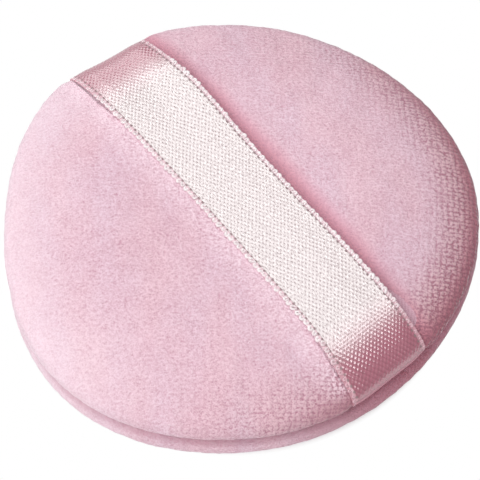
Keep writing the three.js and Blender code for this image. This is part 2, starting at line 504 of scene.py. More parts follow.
@dataclass(frozen=True)
class VelourFinish:
    """Short cut pile on a knit ground.

    Its colour holds painted light and shade. Where it comes over the rim on the side that the key
    light falls on, it is painted pale as lit; on the other side its rows of tufts stand open, with
    painted shade in their tips, in the ground between and in a band at the edge. Of a pair of
    shades or heights, the second is what open pile adds.
    """

    rosy: Colour = (0.84, 0.594, 0.668)
    mauve: Colour = (0.815, 0.608, 0.702)
    shaded: Colour = (0.56, 0.285, 0.365)
    # Painted shade: the tips of the open tufts, darker on the rim away from the key light.
    shaded_tips: Colour = (0.56, 0.295, 0.305)
    # Painted shade: the ground between the open tufts.
    shaded_gaps: Colour = (0.30, 0.11, 0.145)
    # Painted light: the rim that the key light falls on, paler, with its texture calmed.
    lit_rim: Colour = (0.94, 0.77, 0.84)
    # Painted shadow: the ribbon's shadow on the pile along its right edge.
    shadow_strip: Colour = (0.68, 0.26, 0.335)
    # Painted shade: the pile deep in the groove at the seam.
    groove_shade: Colour = (0.34, 0.12, 0.165)
    # Painted light: the pile lit along the ribbon's left edge.
    lit_strip: Colour = (0.94, 0.735, 0.815)
    # Painted shade: the outermost band of the rim turned away from the key light.
    rim_shade: Colour = (0.46, 0.175, 0.22)
    sheen_tint: Colour = (1.0, 0.93, 0.96)
    sheen: float = 0.55
    sheen_roughness: float = 0.36
    roughness: float = 0.9
    gloss: float = 0.1

    patch_size: float = 12.0
    lump_size: float = 2.2
    nap_size: float = 0.25
    nap_harshness: float = 0.6
    brush: Pair = (9.0, 22.0)
    brush_tones: Pair = (-0.35, 0.35)
    stroke: Pair = (0.62, 0.42)
    tuft_pitch: Pair = (0.98, 0.77)
    tuft_stray: float = 0.36
    tuft_sharpness: float = 7.0
    tuft_patch: float = 1.6
    standing: float = 0.90
    standing_stray: float = 0.7

    base_shade: float = 0.32
    patch_shade: float = 0.18
    lump_shade: float = 0.22
    stroke_shade: float = 0.55
    nap_shade: Pair = (0.72, 1.25)
    tuft_shade: Pair = (0.14, 2.25)
    tuft_level: float = 0.42
    rim_shade_calm: float = 0.30
    lit_rim_calm: float = 0.6
    nap_height: float = 0.07
    stroke_height: float = 0.06
    lump_height: float = 0.03
    tuft_height: Pair = (0.04, 0.14)
    shaded_tips_share: float = 0.55
    shaded_tips_on_tufts: float = 0.4
    lit_rim_share: float = 0.7
    groove_shade_share: float = 0.35
    lit_strip_share: float = 0.85
    shadow_strip_share: float = 0.80

    grain_angle: float = 51.6
    # The open side is the rim turned away from the key light, where the pile's colour is painted in
    # shade.
    open_shade_side: Pair = (0.743, 0.669)
    open_shade_reach: Pair = (29.0, 41.0)
    open_shade_facing: Pair = (-0.25, 1.25)
    lit_rim_reach: Pair = (24.0, 44.0)
    lit_rim_facing: Pair = (-0.1, -0.9)
    rim_shade_reach: Pair = (37.0, 40.6)
    rim_shade_facing: Pair = (0.25, 0.85)
    ribbon_left: float = -4.8
    ribbon_right: float = 10.2
    lit_strip_beside: Pair = (5.0, 0.5)
    lit_strip_level: Pair = (7.3, 9.8)
    shadow_strip_beside: Pair = (4.0, 0.3)
    shadow_strip_level: Pair = (6.3, 8.3)
    seam: float = 4.9
    groove: Pair = (1.5, 0.5)

    def material(self, name: str) -> bpy.types.Material:
        """Builds the velour.

        Args:
            name: the material's name.

        Returns:
            The material.
        """
        bench = ShaderBench(name)
        places = bench.places()
        row, course, open_shade, lit_rim, rim_shade = self.grain(bench)
        patch = bench.cloud(places, self.patch_size)
        lump = bench.cloud(places, self.lump_size)
        nap = bench.cloud(places, self.nap_size, detail=1.0, roughness=self.nap_harshness)
        strokes = bench.cloud(bench.vector(row, course, self.stroke), size=1.0, detail=1.0)
        brushing = bench.cloud(bench.vector(row, course, self.brush), size=1.0, detail=1.0)
        tufts = self.tufts(bench, row, course)
        nap_shade, tuft_shade, tuft_height = (
            closed + added * open_shade
            for closed, added in (self.nap_shade, self.tuft_shade, self.tuft_height)
        )
        tuft_shade = tuft_shade * (1.0 - self.rim_shade_calm * rim_shade)
        tone = self.base_shade - self.patch_shade * patch - self.lump_shade * lump
        tone = tone - self.stroke_shade * strokes - nap_shade * nap
        tone = (tone + tuft_shade * (self.tuft_level - tufts)) * (1.0 - self.lit_rim_calm * lit_rim)
        height = self.nap_height * nap + self.stroke_height * strokes
        height = height + self.lump_height * lump + tuft_height * tufts
        # Painted shade on the tips of the open tufts.
        shaded_tips = open_shade * (self.shaded_tips_share + self.shaded_tips_on_tufts * tufts)
        ground = bench.mixed(self.rosy, self.mauve, brushing.step(*self.brush_tones))
        ground = bench.mixed(ground, self.shaded_tips, shaded_tips)
        ground = bench.mixed(ground, self.lit_rim, lit_rim * self.lit_rim_share)
        ground = bench.mixed(self.beside_ribbon(bench, places, ground), self.rim_shade, rim_shade)
        # Painted shade in the groove.
        ground = bench.mixed(ground, self.groove_shade, self.in_groove(bench, places) * self.groove_shade_share)
        # Painted shade between the tufts, deepest where the pile is open.
        between = bench.mixed(self.shaded, self.shaded_gaps, open_shade)
        return bench.surface(
            Base_Color=bench.mixed(ground, between, tone.clamped()),
            Roughness=self.roughness,
            Specular_IOR_Level=self.gloss,
            Sheen_Weight=self.sheen,
            Sheen_Roughness=self.sheen_roughness,
            Sheen_Tint=(*self.sheen_tint, 1.0),
            Normal=bench.bumped(height),
        )

    def grain(self, bench: ShaderBench) -> tuple[Field, Field, Field, Field, Field]:
        """The lie of the cloth.

        Args:
            bench: the material's nodes.

        Returns:
            Distances along its rows and courses, how far it is open and painted in shade, how far
            its rim is painted pale as lit, and how far its edge is painted in shade.
        """
        across, along, _ = bench.parts(bench.map_places(GRAIN_MAP, GRAIN_SPAN))
        across, along = across - GRAIN_SPAN / 2, along - GRAIN_SPAN / 2
        turn = math.radians(self.grain_angle)
        row = across * math.cos(turn) + along * math.sin(turn)
        course = along * math.cos(turn) - across * math.sin(turn)
        reach = (across * across + along * along + OFF_ZERO) ** 0.5
        facing = (across * self.open_shade_side[0] + along * self.open_shade_side[1]) / reach
        # How far the pile stands open, with its colour painted in shade, on the rim turned away
        # from the key light.
        open_shade = reach.step(*self.open_shade_reach) * facing.step(*self.open_shade_facing)
        # Painted light on the rim that faces the key light.
        lit_rim = reach.step(*self.lit_rim_reach) * (row / reach).step(*self.lit_rim_facing)
        # Painted shade on the edge of the rim turned away from the key light.
        rim_shade = reach.step(*self.rim_shade_reach) * facing.step(*self.rim_shade_facing)
        return row, course, open_shade, lit_rim, rim_shade

    def tufts(self, bench: ShaderBench, row: Field, course: Field) -> Field:
        """The tufts, in loose rows.

        Args:
            bench: the material's nodes.
            row: distance along a row.
            course: distance along a course.

        Returns:
            1 on a tuft that stands, and 0 on the ground between.
        """
        places = bench.vector(row, course, self.tuft_pitch)
        settings = {"feature": "F1", "voronoi_dimensions": "2D"}
        inputs = {"Vector": places, "Scale": 1.0, "Randomness": self.tuft_stray}
        away = bench.value("ShaderNodeTexVoronoi", settings, inputs)
        stray = bench.cloud(places, self.tuft_patch, detail=1.0)
        standing = (self.standing + self.standing_stray * stray).clamped()
        return (away * away * -self.tuft_sharpness).exponent() * standing

    def in_groove(self, bench: ShaderBench, places: bpy.types.NodeSocket) -> Field:
        """How deep in the groove a place of the rim lies, 1 at the seam: the mask of the painted
        shade there.
        """
        _, _, z = bench.parts(places)
        return (z - self.seam).magnitude().step(*self.groove)

    def beside_ribbon(
        self, bench: ShaderBench, places: bpy.types.NodeSocket, ground: bpy.types.NodeSocket
    ) -> bpy.types.NodeSocket:
        """The pile beside the ribbon: a painted shadow along its right edge, painted light along
        its left.

        Args:
            bench: the material's nodes.
            places: coordinates in millimetres.
            ground: the colour away from the ribbon.

        Returns:
            The colour.
        """
        _, y, z = bench.parts(places)
        # Painted light along the ribbon's left edge.
        left = (y - self.ribbon_left).magnitude().step(*self.lit_strip_beside)
        left = left * z.step(*self.lit_strip_level) * self.lit_strip_share
        # Painted shadow of the ribbon along its right edge.
        right = (y - self.ribbon_right).magnitude().step(*self.shadow_strip_beside)
        right = right * z.step(*self.shadow_strip_level) * self.shadow_strip_share
        return bench.mixed(bench.mixed(ground, self.lit_strip, left), self.shadow_strip, right)


@dataclass(frozen=True)
class KnitFinish:
    """The inside of the velour: a fine plain knit."""

    pale: Colour = (0.80, 0.52, 0.61)
    # Painted shade: the colour between the stitches.
    shaded_knit: Colour = (0.62, 0.33, 0.42)
    stitch: float = 0.6
    sway: float = 0.2
    base_shade: float = 0.5
    column_shade: float = 0.3
    course_shade: float = 0.2
    depth: float = 0.1
    roughness: float = 0.9
    gloss: float = 0.2

    def material(self, name: str) -> bpy.types.Material:
        """Builds the knit with its columns of stitches and painted shade between them.

        Args:
            name: the material's name.

        Returns:
            The material.
        """
        bench = ShaderBench(name)
        across, along, _ = bench.parts(bench.map_places(GRAIN_MAP, GRAIN_SPAN))
        courses = (along / self.stitch).cosine()
        columns = (across / self.stitch + self.sway * courses).cosine()
        loops = self.base_shade - self.column_shade * columns
        loops = (loops - self.course_shade * columns * courses).clamped()
        return bench.surface(
            Base_Color=bench.mixed(self.pale, self.shaded_knit, loops),
            Roughness=self.roughness,
            Specular_IOR_Level=self.gloss,
            Normal=bench.bumped(-self.depth * loops),
        )


@dataclass(frozen=True)
class SatinFinish:
    """Five-end satin: long floats along the ribbon, bound at the points of a slanted lattice.

    Its middle is painted pale and grey, as where the lamp's highlight falls, and its ends are
    deeper and duller. A share at both ends is a pair: that of the far end, and what the near end
    adds.
    """

    thread: Colour = (0.485, 0.146, 0.212)
    shadow: Colour = (0.24, 0.06, 0.09)
    # Painted highlight: the middle's colour, pale and grey where the lamp's highlight falls.
    highlit_middle: Colour = (0.53, 0.445, 0.445)
    binding: Colour = (0.22, 0.145, 0.155)
    # Painted shade: the colour of the dashes in the gaps by the selvedge.
    stitch: Colour = (0.28, 0.19, 0.20)
    # The selvedge's own pink, darkened so that the gaps between the loops show painted shade.
    selvedge: Colour = (0.74, 0.53, 0.58)
    # Painted shade of the ends: the selvedge there, and a matt band at the sewn end in place of the
    # lip's shadow that takes the reflection away.
    end_shade: Colour = (0.60, 0.29, 0.35)
    float_roughness: float = 0.5
    float_refraction: float = 1.4
    bound_roughness: float = 0.75
    bound_refraction: float = 1.35
    coat_tint: Colour = (1.0, 0.98, 0.975)
    coat_roughness: float = 0.20
    coat_refraction: float = 2.5
    coat: float = 0.99
    slub_coat: float = 1.1
    middle_coat: float = 0.56
    selvedge_dulled: float = 0.7

    pick: float = 0.554
    repeat: float = 0.762
    step: float = 0.4
    warp: float = 0.152
    warp_height: float = 0.0010
    tightness: float = 0.60
    narrowness: float = 0.42
    stray_size: float = 1.7
    pick_stray: float = 0.03
    slub: Pair = (0.64, 0.27)
    slub_shift: Pair = (0.18, 0.09)
    twill_shade: float = 0.13
    twill_depth: float = 0.28
    twill_stray: float = 0.15

    width: float = 15.0
    selvedge_width: float = 1.02
    selvedge_blur: float = 0.08
    dash_pitch: float = 1.08
    dash_stray: float = 0.1
    dash_gaps: float = 0.4
    dash_span: Pair = (-0.1, 0.5)
    crease_shift: float = 0.06
    crease_inset: float = 0.04
    crease_beside: Pair = (0.24, 0.10)
    middle: Pair = (-1.0, 1.0)
    dull_along: Pair = (26.0, 35.0)
    end_shade_along: Pair = (39.6, 40.2)
    end_shade_edge: Pair = (0.6, 0.25)
    bound_share: float = 0.93
    bound_stray: float = 0.2
    bound_dulled: float = 0.5
    crease_share: float = 0.85
    end_shade_share: float = 0.9

    def material(self, name: str) -> bpy.types.Material:
        """Builds the satin: bright floats, matt points that bind them, and dashes by the edge, dark
        as painted shade.

        Args:
            name: the material's name.

        Returns:
            The material.
        """
        bench = ShaderBench(name)
        flat = bench.map_places(WEAVE_MAP, WEAVE_SPAN)
        along, across, _ = bench.parts(flat)
        along, across = along - WEAVE_SPAN / 2, across - WEAVE_SPAN / 2
        stray = bench.cloud(flat, self.stray_size)
        slubs = bench.cloud(bench.vector(along, across, self.slub), size=1.0, detail=1.0)
        line = self.width / 2 - self.selvedge_width
        margin = across.magnitude().step(line - self.selvedge_blur, line + self.selvedge_blur)
        woven = 1.0 - margin
        ends = along.magnitude().step(*self.dull_along)
        # The band at the sewn end, matt in place of the lip's shadow.
        end_shade = along.magnitude().step(*self.end_shade_along)
        normal = bench.bumped(self.warp_height * (across / self.warp).cosine() * woven)
        crease = self.crease(along, across, stray, line)
        floats = bench.shader(
            Base_Color=self.float_colour(bench, along, across, stray, ends, margin),
            Roughness=self.float_roughness,
            IOR=self.float_refraction,
            Coat_Weight=self.coat_share(slubs, ends, margin),
            Coat_Roughness=self.coat_roughness,
            Coat_IOR=self.coat_refraction,
            Coat_Tint=(*self.coat_tint, 1.0),
            Normal=normal,
        )
        bound = bench.shader(
            Base_Color=bench.mixed(bench.mixed(self.binding, self.stitch, crease), self.end_shade, end_shade),
            Roughness=self.bound_roughness,
            IOR=self.bound_refraction,
            Normal=normal,
        )
        shifted = along + self.pick_stray * stray + self.slub_shift[0] * slubs
        share = self.bindings(shifted, across + self.slub_shift[1] * slubs) * woven
        share = share * (self.bound_share + self.bound_stray * stray)
        share = share * (1.0 - self.bound_dulled * ends)
        share = share + self.crease_share * crease + self.end_shade_share * end_shade
        return bench.closed(bench.blended(floats, bound, share.clamped()))

    def float_colour(
        self,
        bench: ShaderBench,
        along: Field,
        across: Field,
        stray: Field,
        ends: Field,
        margin: Field,
    ) -> bpy.types.NodeSocket:
        """The colour of the floats, and of the selvedge beside them.

        Args:
            bench: the material's nodes.
            along: distance from the crown, less than 0 on the far half.
            across: distance from the middle line.
            stray: noise of the weave.
            ends: 1 at the dull ends and 0 at the middle, painted pale where the highlight falls.
            margin: 1 on the selvedge and 0 inside it.

        Returns:
            The colour.
        """
        slanted = across / self.repeat - along * (self.step / self.pick)
        twill = self.twill_shade - self.twill_depth * slanted.cosine() + self.twill_stray * stray
        dull = bench.mixed(self.thread, self.shadow, twill.clamped())
        # Painted shade on the selvedge towards the ends.
        shaded_edge = ends * (self.end_shade_edge[0] + self.end_shade_edge[1] * along.step(*self.middle))
        edge = bench.mixed(self.selvedge, self.end_shade, shaded_edge)
        return bench.mixed(bench.mixed(self.highlit_middle, dull, ends), edge, margin)

    def coat_share(self, slubs: Field, ends: Field, margin: Field) -> Field:
        """The weight of the coat that gives the floats their lustre.

        Args:
            slubs: noise of the uneven yarn.
            ends: 1 at the dull ends and 0 at the middle, which has less coat.
            margin: 1 on the selvedge, which has less still, and 0 inside it.

        Returns:
            The weight.
        """
        kept = self.middle_coat + (1.0 - self.middle_coat) * ends
        uneven = kept * (self.coat + self.slub_coat * slubs)
        return (uneven * (1.0 - self.selvedge_dulled * margin)).clamped()

    def crease(self, along: Field, across: Field, stray: Field, line: float) -> Field:
        """The dashes where the outermost warp is caught, beside the selvedge, dark as painted shade
        in the gaps there.

        Args:
            along: distance from the crown.
            across: distance from the middle line.
            stray: noise of the weave.
            line: distance of the selvedge from the middle line.

        Returns:
            1 on a dash and 0 beside it.
        """
        waves = ((along + self.dash_stray * stray) / self.dash_pitch).cosine()
        dashes = (waves + self.dash_gaps * stray).step(*self.dash_span)
        beside = (across + self.crease_shift).magnitude() - (line - self.crease_inset)
        return beside.magnitude().step(*self.crease_beside) * dashes

    def bindings(self, along: Field, across: Field) -> Field:
        """The points where a float is bound.

        Args:
            along: distance from the crown.
            across: distance from the middle line.

        Returns:
            1 at a point and 0 on a float.
        """
        first = across / self.repeat - along * (self.step / self.pick)
        third = first + along / self.pick
        waves = (first.cosine() + third.cosine() - 2.0) * self.tightness
        narrow = (first + third).cosine() + (2.0 * first + third).cosine() - 2.0
        return (waves + narrow * self.narrowness).exponent()


@dataclass(frozen=True)
class LoopFinish:
    """The turns of the weft at the ribbon's edge: the same yarn, not drawn flat, and paler.

    The share of the painted shade of the ends is a pair: that of the far end, and what the near end
    adds.
    """

    yarn: Colour = (0.98, 0.90, 0.91)
    # Painted shade: the colour between the strands, with random flecks.
    shaded_hollow: Colour = (0.64, 0.40, 0.45)
    # Painted shade: the loops towards the ends, where no highlight falls.
    end_shade: Colour = (0.70, 0.39, 0.46)
    strand: float = 0.17
    strand_slant: float = 0.6
    strand_height: float = 0.010
    fuzz_size: float = 0.5
    fleck_size: float = 0.8
    base_shade: float = 0.14
    strand_shade: float = 0.14
    fuzz_shade: float = 0.3
    fleck_shade: float = 0.8
    roughness: float = 0.42
    fuzz_roughness: float = 0.1
    refraction: float = 1.9
    middle: Pair = (-1.0, 1.0)
    end_shade_along: Pair = (26.0, 36.0)
    end_shade_share: Pair = (0.45, 0.45)

    def material(self, name: str) -> bpy.types.Material:
        """Builds the yarn with the twist of its strands.

        Args:
            name: the material's name.

        Returns:
            The material.
        """
        bench = ShaderBench(name)
        places = bench.places()
        x, y, z = bench.parts(places)
        strands = ((x + self.strand_slant * y + z) / self.strand).cosine()
        fuzz = bench.cloud(places, self.fuzz_size)
        flecks = bench.cloud(places, self.fleck_size, detail=1.0)
        # Painted shade between the strands, with random fuzz and flecks.
        dark = self.base_shade - self.strand_shade * strands
        dark = (dark - self.fuzz_shade * fuzz - self.fleck_shade * flecks).clamped()
        ends = self.end_shade_share[0] + self.end_shade_share[1] * x.step(*self.middle)
        ends = x.magnitude().step(*self.end_shade_along) * ends
        return bench.surface(
            Base_Color=bench.mixed(bench.mixed(self.yarn, self.shaded_hollow, dark), self.end_shade, ends),
            Roughness=(self.roughness + self.fuzz_roughness * fuzz).clamped(),
            IOR=self.refraction,
            Normal=bench.bumped(self.strand_height * strands),
        )


@dataclass(frozen=True)
class FoamFinish:
    """Open-cell foam, pale cream, with its pores."""

    skin: Colour = (0.90, 0.83, 0.74)
    # Painted shade: the colour inside the pores.
    shaded_pore: Colour = (0.62, 0.53, 0.44)
    pore_size: float = 0.9
    pore_span: Pair = (0.45, 0.1)
    pore_shade: float = 0.8
    pore_depth: float = 0.2
    roughness: float = 0.95

    def material(self, name: str) -> bpy.types.Material:
        """Builds the foam.

        Args:
            name: the material's name.

        Returns:
            The material.
        """
        bench = ShaderBench(name)
        inputs = {"Vector": bench.places(), "Scale": 1.0 / self.pore_size}
        cells = bench.value("ShaderNodeTexVoronoi", {"feature": "F1"}, inputs)
        pores = cells.step(*self.pore_span)
        return bench.surface(
            Base_Color=bench.mixed(self.skin, self.shaded_pore, pores * self.pore_shade),
            Roughness=self.roughness,
            Normal=bench.bumped(-self.pore_depth * pores),
        )


@dataclass(frozen=True)
class ThreadFinish:
    """Twisted polyester sewing thread."""

    ply: Colour = (0.82, 0.48, 0.57)
    # Painted shade: the colour between the plies.
    gap: Colour = (0.50, 0.22, 0.30)
    twist: float = 0.22
    gap_shade: float = 0.4
    ply_height: float = 0.02
    roughness: float = 0.5

    def material(self, name: str) -> bpy.types.Material:
        """Builds the thread with its plies.

        Args:
            name: the material's name.

        Returns:
            The material.
        """
        bench = ShaderBench(name)
        x, y, z = bench.parts(bench.places())
        plies = ((x + y + z) / self.twist).cosine()
        shaded_gaps = (self.gap_shade - self.gap_shade * plies).clamped()
        return bench.surface(
            Base_Color=bench.mixed(self.ply, self.gap, shaded_gaps),
            Roughness=self.roughness,
            Normal=bench.bumped(self.ply_height * plies),
        )


@dataclass(frozen=True)
class FloorFinish:
    """A matt white table that keeps the puff's shadow, and is paper white from the rim outwards."""

    colour: Colour = (0.80, 0.80, 0.80)
    lift: float = 0.28
    white_reach: Pair = (37.8, 39.3)

    def material(self, name: str) -> bpy.types.Material:
        """Builds the white, which the camera, reflections and glass see as paper white.

        Args:
            name: the material's name.

        Returns:
            The material.
        """
        bench = ShaderBench(name)
        path = bench.node("ShaderNodeLightPath").outputs
        seen = Field(bench, path["Is Camera Ray"]) + Field(bench, path["Is Glossy Ray"])
        seen = (seen + Field(bench, path["Is Transmission Ray"])).clamped()
        x, y, _ = bench.parts(bench.places())
        off = ((x * x + y * y) ** 0.5).step(*self.white_reach)
        matt = bench.node("ShaderNodeBsdfDiffuse", None, {"Color": (*self.colour, 1.0)}).outputs[0]
        glow = bench.node("ShaderNodeEmission", None, {"Strength": seen * self.lift}).outputs[0]
        near = bench.node("ShaderNodeAddShader", None, {0: matt, 1: glow}).outputs[0]
        paper = bench.node("ShaderNodeEmission", None, {"Strength": 1.0}).outputs[0]
        return bench.closed(bench.blended(near, paper, seen * off))


# Pad


@dataclass(frozen=True)
class Wave:
    """A wave of the pad's hand-cut outline: lobes round the pad, depth, and a crest in degrees."""

    lobes: int
    depth: float
    crest: float


@dataclass(frozen=True)
class PadOutline:
    """The pad seen from above, with the rim drawn in at both ends of the ribbon."""

    radius: float = 40.0
    waves: tuple[Wave, ...] = (
        Wave(1, 0.36, 72.0),
        Wave(2, 0.22, 95.7),
        Wave(3, 0.93, 54.2),
        Wave(4, 0.22, 3.4),
        Wave(5, 0.19, 56.4),
    )
    ribbon_middle: float = 2.7
    ribbon_width: float = 15.0
    near_draw: float = 1.3
    far_draw: float = 2.0
    recovery_start: float = -1.5
    recovery_end: float = 1.8
    slow_recovery: float = 13.0
    slow_share: float = 0.3
    far_sag: float = 0.45
    near_skew: float = 0.045
    far_skew: float = 0.09
    splay: float = 1.2
    least_slope: float = 0.2

    def wave_radius(self, angle: np.ndarray | float) -> np.ndarray:
        """The outline as the cloth is cut.

        Args:
            angle: directions in radians.

        Returns:
            Its radius in each direction.
        """
        angle = np.asarray(angle, float)
        radius = np.full_like(angle, self.radius)
        for wave in self.waves:
            radius += wave.depth * np.cos(wave.lobes * (angle - math.radians(wave.crest)))
        return radius

    def reach(self, end: End) -> float:
        """Finds the line that the ribbon draws the rim in to.

        Args:
            end: the end of the ribbon.

        Returns:
            Its distance from the middle.
        """
        if end is End.NEAR:
            return float(self.wave_radius(0.0)) - self.near_draw
        return float(self.wave_radius(math.pi)) - self.far_draw

    def drawn_reach(self, end: End, y: np.ndarray) -> np.ndarray:
        """The drawn-in rim, which is askew at both ends and sags at the far one.

        Args:
            end: the end of the ribbon.
            y: places across the ribbon.

        Returns:
            Its distance along X at each place.
        """
        half = self.ribbon_width / 2
        side = y - self.ribbon_middle
        if end is End.NEAR:
            return self.reach(end) - self.near_skew * np.clip(side, -half - self.splay, half)
        side = np.clip(side, -half, half)
        return self.reach(end) - self.far_skew * side - self.far_sag * (1.0 - (side / half) ** 2)

    def under_ribbon(self, x: np.ndarray, y: np.ndarray) -> np.ndarray:
        """How far the ribbon holds the pad.

        Args:
            x: places along the ribbon, of which only the sign counts.
            y: places across it.

        Returns:
            1 under the ribbon's middle, falling to 0 beside it.
        """
        side = y - self.ribbon_middle
        splay = np.where(x > 0, self.splay, 0.0)
        beside = np.maximum(side, -side - splay) - self.ribbon_width / 2
        quick = 1.0 - smoothstep(self.recovery_start, self.recovery_end, beside)
        slow = 1.0 - smoothstep(self.recovery_start, self.slow_recovery, beside)
        return quick + self.slow_share * (slow - quick)

    def radius_at(self, angle: np.ndarray) -> np.ndarray:
        """The outline as it is sewn, drawn in by the ribbon.

        Args:
            angle: directions in radians.

        Returns:
            Its radius in each direction.
        """
        cut = self.wave_radius(angle)
        slope = np.cos(angle)
        y = cut * np.sin(angle)
        reach = np.where(slope > 0, self.drawn_reach(End.NEAR, y), self.drawn_reach(End.FAR, y))
        line = reach / np.maximum(np.abs(slope), self.least_slope)
        draw = np.maximum(cut - line, 0.0) * self.under_ribbon(slope, y)
        return cut - draw

    def fitted(self, points: np.ndarray) -> np.ndarray:
        """Moves points of a round pad out or in to the outline.

        Args:
            points: rows of points.

        Returns:
            The moved rows.
        """
        angle = np.arctan2(points[:, 1], points[:, 0])
        stretch = self.radius_at(angle) / self.radius
        fitted = points.copy()
        fitted[:, :2] *= stretch[:, None]
        return fitted


@dataclass(frozen=True)
class PadSection:
    """The pad's half section, as (r, z) lines, for covers, foam and ribbon alike."""

    radius: float = 40.0
    height: float = 13.2
    crown_power: float = 3.4
    face_rim: float = 7.3
    back_rim: float = 2.4
    back_edge: float = 5.0
    wall: float = 1.0
    seam: float = 4.9
    groove: float = 2.0
    allowance: float = 6.0
    clearance: float = 0.3
    ribbon_thickness: float = 0.4
    thread_stack: float = 1.9
    crown_points: int = 160
    rim_points: int = 40

    @property
    def ribbon_half_gap(self) -> float:
        """Half of the room that the ribbon's end takes in the seam."""
        return self.ribbon_thickness / 2 + self.clearance

    @property
    def allowance_edge(self) -> float:
        """Radius of the raw edge of the turned-in cloth."""
        return self.radius - self.groove - self.allowance

    def crown(self, radius: float, base: float, top: float, start: float) -> np.ndarray:
        """The domed face, out to its widest line.

        Args:
            radius: radius of the widest line.
            base: height of the widest line.
            top: height of the middle.
            start: share of the radius at which the line starts.

        Returns:
            Rows of (r, z).
        """
        steepest = math.asin(math.sqrt(1 - start**self.crown_power))
        turn = np.linspace(steepest, 0.0, self.crown_points)
        share = np.cos(turn) ** (2 / self.crown_power)
        return np.stack([radius * share, base + (top - base) * np.sin(turn)], axis=1)

    def rim_to_seam(self, rim: float, level: float) -> np.ndarray:
        """From a rim's widest line round into the groove.

        Args:
            rim: height of the widest line.
            level: height of the cloth in the groove.

        Returns:
            Rows of (r, z).
        """
        turn = np.linspace(0.0, math.pi / 2, self.rim_points)
        reach = self.radius - self.groove * (1 - np.cos(turn))
        return np.stack([reach, rim + (level - rim) * np.sin(turn)], axis=1)

    def turned_in(self, level: float) -> np.ndarray:
        """The seam allowance from the groove in to its raw edge, at a height, as rows of (r, z)."""
        return np.array([[self.radius - self.groove, level], [self.allowance_edge, level]])

    def under_edge(self, inset: float, floor: float, rim: float) -> np.ndarray:
        """From the flat underside round to the widest line of the back's rim.

        Args:
            inset: how far the line lies inside the pad's outline.
            floor: height of the underside.
            rim: height of the widest line.

        Returns:
            Rows of (r, z).
        """
        turn = np.linspace(0.0, math.pi / 2, self.rim_points)
        flat = self.radius - self.back_edge
        reach = flat + (self.back_edge - inset) * np.sin(turn)
        return np.stack([reach, floor + (rim - floor) * (1 - np.cos(turn))], axis=1)


